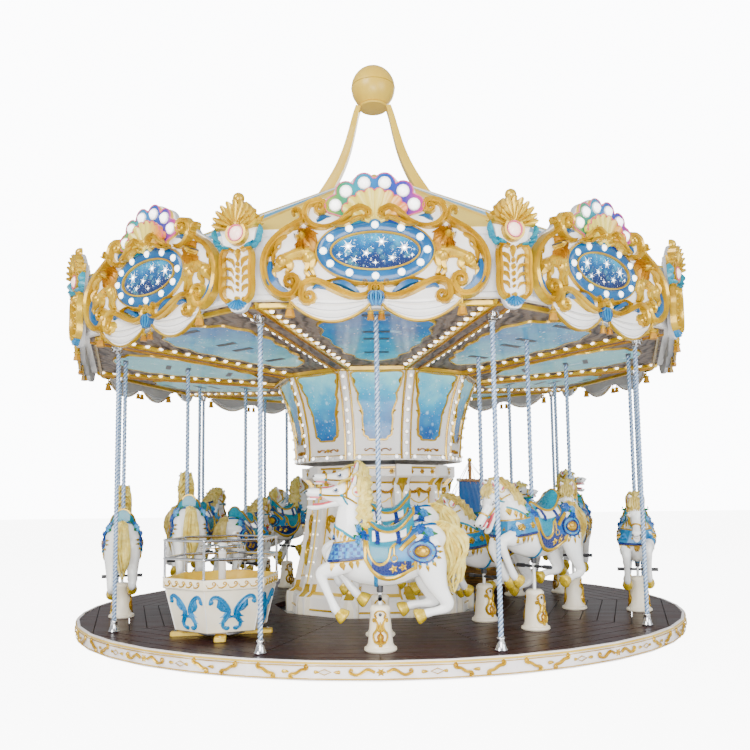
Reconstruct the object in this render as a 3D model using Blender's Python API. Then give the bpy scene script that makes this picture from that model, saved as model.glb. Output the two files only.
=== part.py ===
"""Fairground carousel: a fixed ground frame, centre housing and mast carry a turntable
with ten bays, sixteen rising horses, a spinning tub and a small sailing ship.

Metres, +Z up, origin on the ground at the centre of rotation.
Azimuth 0 points to -Y and grows towards +X; bay 0 is centred on azimuth 0.
"""
import math

import bmesh
import bpy
from mathutils import Matrix, Vector

for scene_object in list(bpy.data.objects):
    bpy.data.objects.remove(scene_object, do_unlink=True)

# Driving dimensions
BAYS = 10
BAY_ANGLE = math.tau / BAYS
HALF_BAY = BAY_ANGLE / 2
GAP = 0.0003
FLAT_ANGLE = math.radians(0.05)
DECK_TOP = 0.15
DECK_THICKNESS = 0.06
PLATFORM_RADIUS = 3.30
SKIRT_THICKNESS = 0.025
DECK_RADIUS = PLATFORM_RADIUS - SKIRT_THICKNESS
DECK_HOLE_RADIUS = 1.16
RIM_SEGMENTS = 40
CROWN_RADIUS = 3.41
CROWN_WALL = 0.06
FASCIA_BOTTOM = DECK_TOP + 2.755
FASCIA_TOP = DECK_TOP + 3.30
ROOF_SLOPE = 0.543
ROOF_THICKNESS = 0.06
EAVES_EDGE = 0.02
EAVES_RADIUS = CROWN_RADIUS
CEILING_INNER_RADIUS = 1.175
CEILING_INNER_Z = 2.73
CEILING_THICKNESS = 0.03
NECK_WALL = 0.04
NECK_BOTTOM = 1.765
HOUSING_TOP = 1.72
TIE_ROD_RADIUS = 0.025
TIE_ROD_PITCH_RADIUS = 3.07
PEDESTAL_HEIGHT = 0.36
PEDESTAL_BORE_FLOOR = 0.05
POLE_RADIUS = 0.024
GUIDE_ROD_RADIUS = 0.015
GUIDE_CLEARANCE = 0.0005
GUIDE_SIDES = 6
POLE_TOP = 3.10
HIGH_HORSE_LIFT = 0.14
OUTER_PAIR = (2.86, 2.20)
INNER_PAIR = (2.41, 1.75)
HORSE_BAYS = {0: OUTER_PAIR, 1: INNER_PAIR, 2: OUTER_PAIR, 3: INNER_PAIR,
              5: INNER_PAIR, 6: OUTER_PAIR, 7: INNER_PAIR, 8: OUTER_PAIR}
TUB_BAY = 9
TUB_RADIUS = 2.45
SHIP_BAY = 4
SHIP_RADIUS = 2.20
BALL_RADIUS = 0.27
BALL_CENTRE_Z = 6.42

COLOURS = {
    "cream": ((0.93, 0.88, 0.76), 0.35, 0.0),
    "white": ((0.93, 0.93, 0.92), 0.30, 0.0),
    "gold": ((0.83, 0.58, 0.20), 0.35, 0.6),
    "planks": ((0.16, 0.08, 0.06), 0.25, 0.0),
    "steel": ((0.55, 0.56, 0.58), 0.45, 0.8),
    "rope_blue": ((0.66, 0.76, 0.88), 0.30, 0.1),
    "ceiling": ((0.50, 0.44, 0.40), 0.50, 0.0),
    "roof_cream": ((0.97, 0.92, 0.68), 0.50, 0.0),
    "sail_blue": ((0.12, 0.38, 0.70), 0.70, 0.0),
}


def material(name):
    """Return the named Principled material, made on first use."""
    if name in bpy.data.materials:
        return bpy.data.materials[name]
    colour, roughness, metallic = COLOURS[name]
    made = bpy.data.materials.new(name)
    made.use_nodes = True
    shader = made.node_tree.nodes["Principled BSDF"]
    shader.inputs["Base Color"].default_value = (*colour, 1.0)
    shader.inputs["Roughness"].default_value = roughness
    shader.inputs["Metallic"].default_value = metallic
    made.diffuse_color = (*colour, 1.0)
    return made


def polar(radius, azimuth, z=0.0):
    """Point at a radius and azimuth."""
    return Vector((radius * math.sin(azimuth), -radius * math.cos(azimuth), z))


def new_mesh(name, points, faces):
    """Mesh from points and faces, with its faces turned outwards."""
    mesh = bpy.data.meshes.new(name)
    mesh.from_pydata([tuple(point) for point in points], [], faces)
    work = bmesh.new()
    work.from_mesh(mesh)
    bmesh.ops.recalc_face_normals(work, faces=work.faces)
    loose = [vertex for vertex in work.verts if not vertex.link_faces]
    bmesh.ops.delete(work, geom=loose, context="VERTS")
    work.to_mesh(mesh)
    work.free()
    return mesh


def place(name, mesh, colour, azimuth=0.0, location=(0, 0, 0)):
    """Add an object for the mesh, turned about the vertical by its azimuth."""
    placed = bpy.data.objects.new(name, mesh)
    bpy.context.collection.objects.link(placed)
    placed.location = location
    placed.rotation_euler = (0, 0, azimuth)
    mesh.materials.clear()
    mesh.materials.append(material(colour))
    mesh.set_sharp_from_angle(angle=math.radians(35))
    return placed


def prism(outline, low, high):
    """Extrude an anticlockwise XY outline between two heights."""
    count = len(outline)
    points = [(x, y, low) for x, y in outline] + [(x, y, high) for x, y in outline]
    faces = [tuple(reversed(range(count))), tuple(range(count, 2 * count))]
    for i in range(count):
        j = (i + 1) % count
        faces.append((i, j, count + j, count + i))
    return new_mesh("prism", points, faces)


def tube(rings, closed=False):
    """Join rings of equal size; the ends are capped unless the last joins the first."""
    size = len(rings[0])
    points = [point for ring in rings for point in ring]
    faces = []
    spans = len(rings) if closed else len(rings) - 1
    for row in range(spans):
        a = row * size
        b = ((row + 1) % len(rings)) * size
        for i in range(size):
            j = (i + 1) % size
            faces.append((a + i, a + j, b + j, b + i))
    if not closed:
        faces.append(tuple(reversed(range(size))))
        faces.append(tuple(range(len(points) - size, len(points))))
    return new_mesh("tube", points, faces)


def ring(radius, z, sides, phase=0.0):
    """Horizontal ring of points, anticlockwise seen from above."""
    return [polar(radius, phase + math.tau * i / sides, z) for i in range(sides)]


def decagon(radius, z):
    """Ring with its corners between the bays."""
    return ring(radius, z, BAYS, -HALF_BAY)


def turned(profile, sides, phase=0.0):
    """Solid of revolution from a profile of (radius, z) that rises from the bottom."""
    return tube([ring(radius, z, sides, phase) for radius, z in profile])


def turned_ring(profile, sides, phase=0.0):
    """Ring-shaped solid: the profile runs up the outside and back down the inside."""
    return tube([ring(radius, z, sides, phase) for radius, z in profile], closed=True)


def section(centre, forward, half_width, half_height, sides):
    """Elliptic ring across a path in the XZ plane."""
    up = Vector((-forward.z, 0, forward.x))
    points = []
    for i in range(sides):
        angle = math.tau * (i + 0.5) / sides
        side_step = Vector((0, half_width * math.cos(angle), 0))
        points.append(centre + side_step + up * (half_height * math.sin(angle)))
    return points


def limb(stations, sides, offset_y=0.0):
    """Loft along stations of (x, z, half width, half height)."""
    centres = [Vector((x, offset_y, z)) for x, z, _, _ in stations]
    rings = []
    for i, (_, _, width, height) in enumerate(stations):
        before = centres[max(i - 1, 0)]
        after = centres[min(i + 1, len(centres) - 1)]
        rings.append(section(centres[i], (after - before).normalized(), width, height, sides))
    return tube(rings)


def bar(start, end, radius, sides=6):
    """Straight round bar between two points."""
    start, end = Vector(start), Vector(end)
    along = (end - start).normalized()
    across = along.orthogonal().normalized()
    third = along.cross(across)
    rings = []
    for centre in (start, end):
        turn = [math.tau * i / sides for i in range(sides)]
        rings.append([centre + radius * (across * math.cos(t) + third * math.sin(t)) for t in turn])
    return tube(rings)


def moved(mesh, matrix):
    """Move a mesh in place and return it."""
    mesh.transform(matrix)
    return mesh


def combine(name, meshes, operation="UNION"):
    """Boolean of the first mesh with each of the others, applied."""
    body = bpy.data.objects.new(name, meshes[0])
    bpy.context.collection.objects.link(body)
    helpers = []
    for i, mesh in enumerate(meshes[1:]):
        helper = bpy.data.objects.new(f"{name}_helper_{i}", mesh)
        bpy.context.collection.objects.link(helper)
        helper.hide_render = True
        helper.display_type = "WIRE"
        helpers.append(helper)
        modifier = body.modifiers.new(f"join_{i}", "BOOLEAN")
        modifier.operation = operation
        modifier.object = helper
    bpy.context.view_layer.update()
    graph = bpy.context.evaluated_depsgraph_get()
    result = bpy.data.meshes.new_from_object(body.evaluated_get(graph))
    for helper in helpers + [body]:
        bpy.data.objects.remove(helper, do_unlink=True)
    work = bmesh.new()
    work.from_mesh(result)
    bmesh.ops.dissolve_limit(work, angle_limit=FLAT_ANGLE, verts=work.verts, edges=work.edges)
    bmesh.ops.triangulate(work, faces=work.faces)
    work.to_mesh(result)
    work.free()
    result.name = name
    return result


# Fixed base
def ground_frame():
    """Hub plate, ten radial beams and the ring track that the deck's wheels run on."""
    hub_radius, beam_end, beam_half, beam_top = 1.12, 3.12, 0.06, 0.075
    hub = turned([(hub_radius, 0.0), (hub_radius, beam_top)], BAYS * 2)
    beams = []
    for bay in range(BAYS):
        outline = [(-beam_half, -beam_end), (beam_half, -beam_end),
                   (beam_half, -0.9), (-beam_half, -0.9)]
        turn = Matrix.Rotation(bay * BAY_ANGLE, 4, "Z")
        beams.append(moved(prism(outline, 0.0, beam_top), turn))
    track_in, track_out, track_low = 2.42, 2.54, 0.02
    track_top = DECK_TOP - DECK_THICKNESS - GAP
    track = turned_ring([(track_out, track_low), (track_out, track_top),
                         (track_in, track_top), (track_in, track_low)], BAYS * 2)
    place("ground_frame", combine("ground_frame", [hub] + beams + [track]), "steel")
    return beam_top


def centre_housing(seat_z):
    """Ten-sided fluted housing with a pilaster at each corner and a cornice on top."""
    pilaster_out, pilaster_half = 0.035, 0.085
    profile = [(1.04, seat_z + GAP), (1.04, 0.30), (0.96, 0.36), (0.86, 0.80), (0.79, 1.30),
               (0.78, 1.52), (0.86, 1.60), (0.86, HOUSING_TOP)]
    rings = []
    for radius, z in profile:
        points = []
        for corner in range(BAYS):
            azimuth = corner * BAY_ANGLE - HALF_BAY
            inward = pilaster_half * math.tan(HALF_BAY)
            for out, side in ((-inward, -1), (pilaster_out, -1), (pilaster_out, 1), (-inward, 1)):
                across = Vector((math.cos(azimuth), math.sin(azimuth), 0)) * side * pilaster_half
                points.append(polar(radius + out, azimuth, z) + across)
        rings.append(points)
    place("centre_housing", tube(rings), "cream")


def centre_mast():
    """Mast from the housing to the roof hub, with a bearing shoulder at its top."""
    mast_top = roof_underside(ROOF_HUB_RADIUS) - GAP
    profile = [(0.20, HOUSING_TOP + GAP), (0.20, HOUSING_TOP + 0.10),
               (0.11, HOUSING_TOP + 0.20), (0.11, mast_top)]
    place("centre_mast", turned(profile, 16), "steel")


# Platform
def deck_sections():
    """Five deck sections of two bays each, with a hollow guide pedestal under every horse."""
    per_section = RIM_SEGMENTS // 5
    underside = DECK_TOP - DECK_THICKNESS
    for number in range(5):
        start = -HALF_BAY + number * 2 * BAY_ANGLE
        outline = []
        for radius, steps in ((DECK_RADIUS, range(per_section + 1)),
                              (DECK_HOLE_RADIUS, reversed(range(per_section + 1)))):
            for step in steps:
                azimuth = start + step * math.tau / RIM_SEGMENTS
                if step == 0:
                    azimuth += GAP / 2 / radius
                if step == per_section:
                    azimuth -= GAP / 2 / radius
                outline.append(polar(radius, azimuth)[:2])
        slab = prism(outline, underside, DECK_TOP)
        pedestals = []
        for bay in (number * 2, number * 2 + 1):
            for radius in HORSE_BAYS.get(bay, ()):
                place_at = Matrix.Translation(polar(radius, bay * BAY_ANGLE))
                turn = Matrix.Rotation(bay * BAY_ANGLE, 4, "Z")
                pedestals.append(moved(pedestal(), place_at @ turn))
        place(f"deck_section_{number + 1}", combine("deck_section", [slab] + pedestals), "planks")


def pedestal():
    """Tapered guide pedestal with a bore for the guide rod, open at its top."""
    bore = GUIDE_ROD_RADIUS + GUIDE_CLEARANCE
    top = DECK_TOP + PEDESTAL_HEIGHT
    outside = [(0.125, DECK_TOP - 0.02), (0.125, DECK_TOP + 0.02), (0.10, DECK_TOP + 0.035),
               (0.07, top)]
    inside = [(bore, top), (bore, DECK_TOP + PEDESTAL_BORE_FLOOR)]
    return turned(outside + inside, GUIDE_SIDES)


def skirt():
    """Rim skirt around the deck, clear of the ground."""
    inner = DECK_RADIUS + GAP * 1.3
    low, high = 0.012, DECK_TOP + 0.008
    profile = [(PLATFORM_RADIUS, low), (PLATFORM_RADIUS, high), (inner, high), (inner, low)]
    place("platform_skirt", turned_ring(profile, RIM_SEGMENTS, -HALF_BAY), "cream")


# Crown and roof
ROOF_HUB_RADIUS = 0.25


def roof_height(radius):
    """Roof surface on a ridge line."""
    return FASCIA_TOP + GAP + EAVES_EDGE + ROOF_SLOPE * (EAVES_RADIUS - radius)


def roof_underside(radius):
    """Underside of the roof on a ridge line."""
    return roof_height(radius) - ROOF_THICKNESS


def roof():
    """Ten-gore pyramid shell with flat eaves that sit on the fascia."""
    eaves_z = FASCIA_TOP + GAP
    apex_radius = 0.02
    inner_eaves = EAVES_RADIUS - (ROOF_THICKNESS - EAVES_EDGE) / ROOF_SLOPE
    rings = [decagon(ROOF_HUB_RADIUS, roof_underside(ROOF_HUB_RADIUS)),
             decagon(inner_eaves, eaves_z), decagon(EAVES_RADIUS, eaves_z),
             decagon(EAVES_RADIUS, roof_height(EAVES_RADIUS)),
             decagon(apex_radius, roof_height(apex_radius))]
    place("roof", tube(rings), "roof_cream")


def corner_shield():
    """Scrolled shield that covers a crown corner, built at azimuth 0."""
    half = [(0.0, 2.775), (0.07, 2.80), (0.085, 2.90), (0.13, 2.97), (0.12, 3.16), (0.15, 3.28),
            (0.15, 3.40), (0.21, 3.52), (0.20, 3.62), (0.10, 3.70), (0.0, 3.76)]
    mirrored = [(-x, z) for x, z in reversed(half[1:-1])]
    back = EAVES_RADIUS + GAP
    front = back + 0.05
    plate = standing_plate(half + mirrored, back, front)
    lamp = standing_plate(oval(0.10, 0.10, 3.417, 8), back + 0.01, front + 0.04)
    rest = [(-0.05, 2.95), (0.05, 2.95), (0.05, 3.40), (-0.05, 3.40)]
    bracket = standing_plate(rest, CROWN_RADIUS - 0.04, back + 0.01)
    return [plate, lamp, bracket]


def standing_plate(outline, near, far):
    """Upright plate at azimuth 0 from an (x, z) outline, between two distances from the axis."""
    flat = prism(outline, near, far)
    stand = Matrix(((1, 0, 0, 0), (0, 0, -1, 0), (0, 1, 0, 0), (0, 0, 0, 1)))
    return moved(flat, stand)


def oval(half_width, half_height, centre_z, sides):
    """Anticlockwise oval outline."""
    turn = [math.tau * i / sides for i in range(sides)]
    return [(half_width * math.cos(t), centre_z + half_height * math.sin(t)) for t in turn]


def crown_frame():
    """White fascia ring with a shield on each of its ten corners."""
    inner = CROWN_RADIUS - CROWN_WALL
    fascia = tube([decagon(CROWN_RADIUS, FASCIA_BOTTOM), decagon(CROWN_RADIUS, FASCIA_TOP),
                   decagon(inner, FASCIA_TOP), decagon(inner, FASCIA_BOTTOM)], closed=True)
    shields = []
    for corner in range(BAYS):
        turn = Matrix.Rotation(corner * BAY_ANGLE + HALF_BAY, 4, "Z")
        shields += [moved(piece, turn) for piece in corner_shield()]
    place("crown_frame", combine("crown_frame", [fascia] + shields), "white")


def crown_panels():
    """Ornate board on the middle of each side: scroll outline, medallion, shell and knot."""
    face = CROWN_RADIUS * math.cos(HALF_BAY) + GAP
    board_depth, relief = 0.055, 0.10
    half = [(0.0, 2.79), (0.07, 2.80), (0.15, 2.83), (0.41, 2.765), (0.60, 2.84), (0.62, 2.75),
            (0.68, 2.75), (0.70, 2.91), (0.76, 2.93), (0.83, 3.03), (0.86, 3.18), (0.83, 3.31),
            (0.74, 3.43), (0.60, 3.53), (0.62, 3.61), (0.54, 3.62), (0.49, 3.65), (0.40, 3.65),
            (0.34, 3.62), (0.315, 3.71), (0.22, 3.79), (0.12, 3.83), (0.045, 3.875), (0.0, 3.85)]
    mirrored = [(-x, z) for x, z in reversed(half[1:-1])]
    board = standing_plate(half + mirrored, face, face + board_depth)
    medallion = standing_plate(oval(0.44, 0.215, 3.30, 16), face + 0.01, face + relief)
    fan_turn = [math.pi * i / 6 for i in range(7)]
    fan = [(0.35 * math.cos(t), 3.52 + 0.30 * math.sin(t)) for t in fan_turn]
    shell = standing_plate(fan, face + 0.01, face + relief + 0.02)
    mesh = combine("crown_panel", [board, medallion, shell])
    for bay in range(BAYS):
        place(f"crown_panel_{bay + 1}", mesh, "gold", bay * BAY_ANGLE)


def ceiling_height(radius):
    """Underside of the ceiling on a corner line."""
    outer = CROWN_RADIUS - CROWN_WALL
    share = (radius - CEILING_INNER_RADIUS) / (outer - CEILING_INNER_RADIUS)
    return CEILING_INNER_Z + share * (FASCIA_BOTTOM - CEILING_INNER_Z)


def ceiling():
    """Ten-sided sloping ceiling with a slot over each pole."""
    slot_half = 0.055
    outer = CROWN_RADIUS - CROWN_WALL - GAP * 1.2
    lines = [outer]
    for pole in sorted(OUTER_PAIR + INNER_PAIR, reverse=True):
        at_corner = pole / math.cos(HALF_BAY)
        lines += [at_corner + slot_half, at_corner - slot_half]
    lines.append(CEILING_INNER_RADIUS)
    shares = (-1.0, -0.22, 0.22)
    columns = [(bay, share) for bay in range(BAYS) for share in shares]

    def corner_point(line, column, lift):
        bay, share = columns[column % len(columns)]
        radius = lines[line]
        across = radius * math.sin(HALF_BAY) * share
        out = radius * math.cos(HALF_BAY)
        turn = Matrix.Rotation(bay * BAY_ANGLE, 3, "Z")
        return turn @ Vector((across, -out, ceiling_height(radius) + lift))

    def solid(line, column):
        if not 0 <= line < len(lines) - 1:
            return False
        bay, share = columns[column % len(columns)]
        middle = (lines[line] + lines[line + 1]) / 2 * math.cos(HALF_BAY)
        over_pole = any(abs(middle - pole) < slot_half / 2 for pole in HORSE_BAYS.get(bay, ()))
        return not (over_pole and share == shares[1])

    count = len(columns)
    points = []
    for lift in (0.0, CEILING_THICKNESS):
        for line in range(len(lines)):
            points += [corner_point(line, column, lift) for column in range(count)]
    layer = len(lines) * count
    faces = []
    for line in range(len(lines) - 1):
        for column in range(count):
            if not solid(line, column):
                continue
            following = (column + 1) % count
            a, b = line * count + column, line * count + following
            c, d = (line + 1) * count + following, (line + 1) * count + column
            faces.append((d, c, b, a))
            faces.append((layer + a, layer + b, layer + c, layer + d))
            walls = ((line - 1, column, a, b), (line, column + 1, b, c),
                     (line + 1, column, c, d), (line, column - 1, d, a))
            for other_line, other_column, start, end in walls:
                if not solid(other_line, other_column):
                    faces.append((start, end, layer + end, layer + start))
    place("ceiling", new_mesh("ceiling", points, faces), "ceiling")


def neck():
    """Ten-sided trumpet shell that hangs from the ceiling around the mast."""
    top = CEILING_INNER_Z + CEILING_THICKNESS
    outer = CEILING_INNER_RADIUS - GAP * 1.2
    outside = [(0.975, NECK_BOTTOM), (0.965, 1.85), (0.985, 2.10), (1.05, 2.40), (1.13, 2.62),
               (outer, CEILING_INNER_Z), (outer, top)]
    inside = [(radius - NECK_WALL, z) for radius, z in reversed(outside)]
    place("neck", tube([decagon(radius, z) for radius, z in outside + inside], closed=True),
          "cream")


def tie_rods():
    """Rod at each corner from the deck to the ceiling, with a conical foot and a collar."""
    top = ceiling_height(TIE_ROD_PITCH_RADIUS - 0.05) - GAP
    profile = [(0.05, DECK_TOP + GAP), (0.05, 0.17), (TIE_ROD_RADIUS, 0.25),
               (TIE_ROD_RADIUS, top - 0.08), (0.045, top - 0.04), (0.045, top)]
    mesh = turned(profile, 6)
    for corner in range(BAYS):
        azimuth = corner * BAY_ANGLE + HALF_BAY
        place(f"tie_rod_{corner + 1}", mesh, "rope_blue", azimuth,
              polar(TIE_ROD_PITCH_RADIUS, azimuth))


def finial():
    """Two curved ribs that rise from the roof ridges to a collar, and the ball on it."""
    half_width, half_depth = 0.075, 0.035
    collar_low, collar_high = BALL_CENTRE_Z - 0.26, BALL_CENTRE_Z - 0.22
    foot = 0.66
    path = [(foot, roof_height(foot)), (0.52, 5.20), (0.41, 5.41), (0.33, 5.62),
            (0.27, 5.84), (0.22, 6.05), (0.19, collar_low + 0.01)]
    ribs = []
    for side in (1, -1):
        rings = []
        for i, (x, z) in enumerate(path):
            before = Vector(path[max(i - 1, 0)])
            after = Vector(path[min(i + 1, len(path) - 1)])
            along = (after - before).normalized()
            across = Vector((-along.y, along.x)) * half_depth
            corners = ((across.x, across.y, -1), (-across.x, -across.y, -1),
                       (-across.x, -across.y, 1), (across.x, across.y, 1))
            if i == 0:
                lift = Vector((half_depth, GAP - ROOF_SLOPE * half_depth))
                drop = Vector((-half_depth, GAP + ROOF_SLOPE * half_depth))
                corners = ((*drop, -1), (*lift, -1), (*lift, 1), (*drop, 1))
            ring_points = [(side * (x + dx), half_width * width_side * side, z + dz)
                           for dx, dz, width_side in corners]
            rings.append(ring_points)
        ribs.append(tube(rings))
    collar = turned([(0.17, collar_low), (0.17, collar_high)], 12)
    place("finial_ribs", combine("finial_ribs", [collar] + ribs), "roof_cream")
    flat = collar_high + GAP
    steps = 8
    profile = []
    low_angle = math.asin((flat - BALL_CENTRE_Z) / BALL_RADIUS)
    high_angle = math.radians(84)
    for step in range(steps + 1):
        angle = low_angle + (high_angle - low_angle) * step / steps
        profile.append((BALL_RADIUS * math.cos(angle), BALL_CENTRE_Z + BALL_RADIUS * math.sin(angle)))
    place("finial_ball", turned(profile, 16), "roof_cream")


# Horses
def horse_mesh(kind):
    """Jumping horse with its pole, guide rod and foot pegs; faces +X, origin at deck level."""
    body = limb([(-0.52, 0.80, 0.07, 0.10), (-0.38, 0.76, 0.17, 0.22), (-0.08, 0.70, 0.18, 0.23),
                 (0.26, 0.75, 0.17, 0.25), (0.40, 0.80, 0.09, 0.15)], 6)
    saddle = limb([(-0.24, 1.01, 0.09, 0.06), (-0.04, 0.93, 0.14, 0.07), (0.16, 1.01, 0.07, 0.05)], 4)
    if kind == "prancer":
        neck_path = [(0.24, 0.78, 0.13, 0.20), (0.27, 1.06, 0.10, 0.17), (0.16, 1.32, 0.06, 0.12)]
        head = [(0.13, 1.30, 0.06, 0.09), (0.30, 1.30, 0.07, 0.09), (0.44, 1.27, 0.045, 0.06),
                (0.55, 1.28, 0.035, 0.045)]
    else:
        neck_path = [(0.24, 0.80, 0.13, 0.20), (0.40, 1.05, 0.10, 0.16), (0.50, 1.24, 0.05, 0.08)]
        head = [(0.43, 1.20, 0.05, 0.08), (0.56, 1.10, 0.07, 0.09), (0.66, 0.99, 0.045, 0.06),
                (0.73, 0.90, 0.035, 0.045)]
    front_leg = [(0.26, 0.70, 0.05, 0.08), (0.45, 0.60, 0.045, 0.06), (0.40, 0.40, 0.03, 0.035),
                 (0.26, 0.27, 0.04, 0.045)]
    hind_leg = [(-0.40, 0.74, 0.06, 0.12), (-0.46, 0.54, 0.05, 0.09), (-0.56, 0.40, 0.03, 0.045),
                (-0.34, 0.27, 0.04, 0.045)]
    tail = [(-0.48, 0.92, 0.04, 0.04), (-0.62, 0.90, 0.05, 0.05), (-0.70, 0.68, 0.06, 0.06),
            (-0.66, 0.44, 0.03, 0.03)]
    pieces = [body, limb(neck_path, 6), limb(head, 4), saddle, limb(tail, 4)]
    for side in (-1, 1):
        shift = 0.03 * side
        pieces.append(limb([(x + shift, z, w, h) for x, z, w, h in front_leg], 4, 0.10 * side))
        pieces.append(limb([(x - shift, z, w, h) for x, z, w, h in hind_leg], 4, 0.10 * side))
    pieces.append(turned([(POLE_RADIUS, 0.60), (POLE_RADIUS, POLE_TOP)], GUIDE_SIDES))
    rod_bottom = 0.13
    pieces.append(turned([(GUIDE_ROD_RADIUS, rod_bottom), (GUIDE_ROD_RADIUS, 0.56)], GUIDE_SIDES))
    pieces.append(bar((0, -0.21, 0.43), (0, 0.21, 0.43), 0.013, 4))
    return combine(f"horse_{kind}", pieces)


def horses():
    """Two horses a bay; neighbours rise and fall in opposite phase."""
    meshes = {kind: horse_mesh(kind) for kind in ("prancer", "galloper")}
    number = 0
    for bay, radii in sorted(HORSE_BAYS.items()):
        for row, radius in enumerate(radii):
            number += 1
            lift = HIGH_HORSE_LIFT if (bay + row) % 2 else 0.0
            kind = "prancer" if bay in (0, 3, 6, 8) else "galloper"
            azimuth = bay * BAY_ANGLE
            where = polar(radius, azimuth, DECK_TOP + lift)
            place(f"horse_{number:02d}", meshes[kind], "white", azimuth + math.pi, where)


# Tub
def hexagon(radius, z):
    """Six-sided ring with a flat side towards the rim of the platform."""
    return ring(radius, z, 6, math.pi / 6)


def tub():
    """Six-sided tub with a bench inside, two hand rails and a hole for the centre post."""
    floor_z, rim_z = 0.215, 0.68
    shell = tube([hexagon(0.41, floor_z), hexagon(0.53, rim_z), hexagon(0.495, rim_z),
                  hexagon(0.455, 0.47), hexagon(0.31, 0.46), hexagon(0.29, floor_z + 0.03),
                  hexagon(0.055, floor_z + 0.03), hexagon(0.055, floor_z)], closed=True)
    pieces = [shell]
    for rail_z in (rim_z + 0.17, rim_z + 0.33):
        low, high = rail_z - 0.014, rail_z + 0.014
        pieces.append(tube([hexagon(0.53, low), hexagon(0.53, high), hexagon(0.502, high),
                            hexagon(0.502, low)], closed=True))
    for corner in range(6):
        foot = polar(0.514, math.pi / 6 + corner * math.pi / 3)
        pieces.append(bar(foot + Vector((0, 0, rim_z - 0.02)),
                          foot + Vector((0, 0, rim_z + 0.335)), 0.013, 4))
    azimuth = TUB_BAY * BAY_ANGLE
    place("tub", combine("tub", pieces), "cream", azimuth, polar(TUB_RADIUS, azimuth))


def tub_base():
    """Crossed legs, bearing disc, centre post and hand wheel of the tub."""
    disc_top = 0.215 - GAP
    disc = turned([(0.22, 0.17), (0.22, disc_top)], 12)
    legs = []
    for turn in range(2):
        outline = [(-0.46, -0.05), (0.46, -0.05), (0.46, 0.05), (-0.46, 0.05)]
        leg = prism(outline, DECK_TOP + GAP, 0.19)
        legs.append(moved(leg, Matrix.Rotation(math.pi / 4 + turn * math.pi / 2, 4, "Z")))
    post = turned([(0.03, 0.18), (0.03, 0.93), (0.05, 0.945), (0.05, 0.96)], 6)
    wheel = turned_ring([(0.20, 0.925), (0.20, 0.95), (0.175, 0.95), (0.175, 0.925)], 12)
    spokes = [bar(polar(-0.185, t, 0.938), polar(0.185, t, 0.938), 0.009, 4)
              for t in (math.pi / 12, math.pi * 7 / 12)]
    azimuth = TUB_BAY * BAY_ANGLE
    place("tub_base", combine("tub_base", [disc, post, wheel] + legs + spokes), "gold", azimuth,
          polar(TUB_RADIUS, azimuth))


# Ship
def ship_hull():
    """Open boat with two benches; the bow points in the direction of travel."""
    stations = [(-0.72, 0.16, 0.66), (-0.60, 0.27, 0.58), (-0.25, 0.34, 0.50), (0.15, 0.34, 0.50),
                (0.50, 0.24, 0.58), (0.78, 0.06, 0.74)]

    def boat(shrink, floor_z):
        rings = []
        for x, half_width, rise in stations:
            width = half_width - shrink
            inset = shrink if abs(x) > 0.7 else 0.0
            x_in = x - math.copysign(inset, x)
            top = DECK_TOP + rise + (0.2 if shrink else 0.0)
            rings.append([(x_in, -width, top), (x_in, -width * 0.9, DECK_TOP + 0.25),
                          (x_in, -width * 0.45, floor_z), (x_in, width * 0.45, floor_z),
                          (x_in, width * 0.9, DECK_TOP + 0.25), (x_in, width, top)])
        return tube(rings)

    shell = combine("ship_shell", [boat(0.0, DECK_TOP + GAP), boat(0.03, DECK_TOP + 0.04)],
                    "DIFFERENCE")
    azimuth = SHIP_BAY * BAY_ANGLE
    benches = []
    for x in (-0.42, 0.30):
        half_width = 0.27
        outline = [(x - 0.11, -half_width), (x + 0.11, -half_width), (x + 0.11, half_width),
                   (x - 0.11, half_width)]
        benches.append(prism(outline, DECK_TOP + 0.24, DECK_TOP + 0.28))
    place("ship_hull", combine("ship_hull", [shell] + benches), "cream", azimuth + math.pi,
          polar(SHIP_RADIUS, azimuth))


def ship_rig():
    """Mast with a yard and two stays, and the sail under the yard."""
    foot, head, yard_z = DECK_TOP + 0.04 + GAP, DECK_TOP + 1.75, DECK_TOP + 1.45
    mast = turned([(0.05, foot), (0.05, foot + 0.05), (0.03, foot + 0.06), (0.025, head)], 8)
    yard_x = 0.045
    yard = bar((yard_x, -0.42, yard_z), (yard_x, 0.42, yard_z), 0.02)
    yard_low = min(vertex.co.z for vertex in yard.vertices)
    azimuth = SHIP_BAY * BAY_ANGLE
    where = polar(SHIP_RADIUS, azimuth)
    place("ship_mast", combine("ship_mast", [mast, yard]), "gold", azimuth + math.pi, where)
    columns, rows = 6, 5
    half_width, height, belly, thickness = 0.38, 0.72, 0.10, 0.012
    front, back = [], []
    for row in range(rows + 1):
        for column in range(columns + 1):
            across = -1 + 2 * column / columns
            down = row / rows
            bulge = belly * (1 - across * across) * math.sin(math.pi * down * 0.85)
            y = half_width * across * (1 + 0.1 * down)
            z = yard_low - GAP - height * down
            front.append((yard_x + bulge + thickness / 2, y, z))
            back.append((yard_x + bulge - thickness / 2, y, z))
    count = len(front)
    faces = []
    stride = columns + 1
    for row in range(rows):
        for column in range(columns):
            a = row * stride + column
            faces.append((a, a + stride, a + stride + 1, a + 1))
            faces.append((count + a, count + a + 1, count + a + stride + 1, count + a + stride))
    border = ([(i, i + 1) for i in range(columns)]
              + [(i * stride + columns, (i + 1) * stride + columns) for i in range(rows)]
              + [(rows * stride + i + 1, rows * stride + i) for i in reversed(range(columns))]
              + [((i + 1) * stride, i * stride) for i in reversed(range(rows))])
    faces += [(a, b, count + b, count + a) for a, b in border]
    place("ship_sail", new_mesh("ship_sail", front + back, faces), "sail_blue",
          azimuth + math.pi, where)


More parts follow.
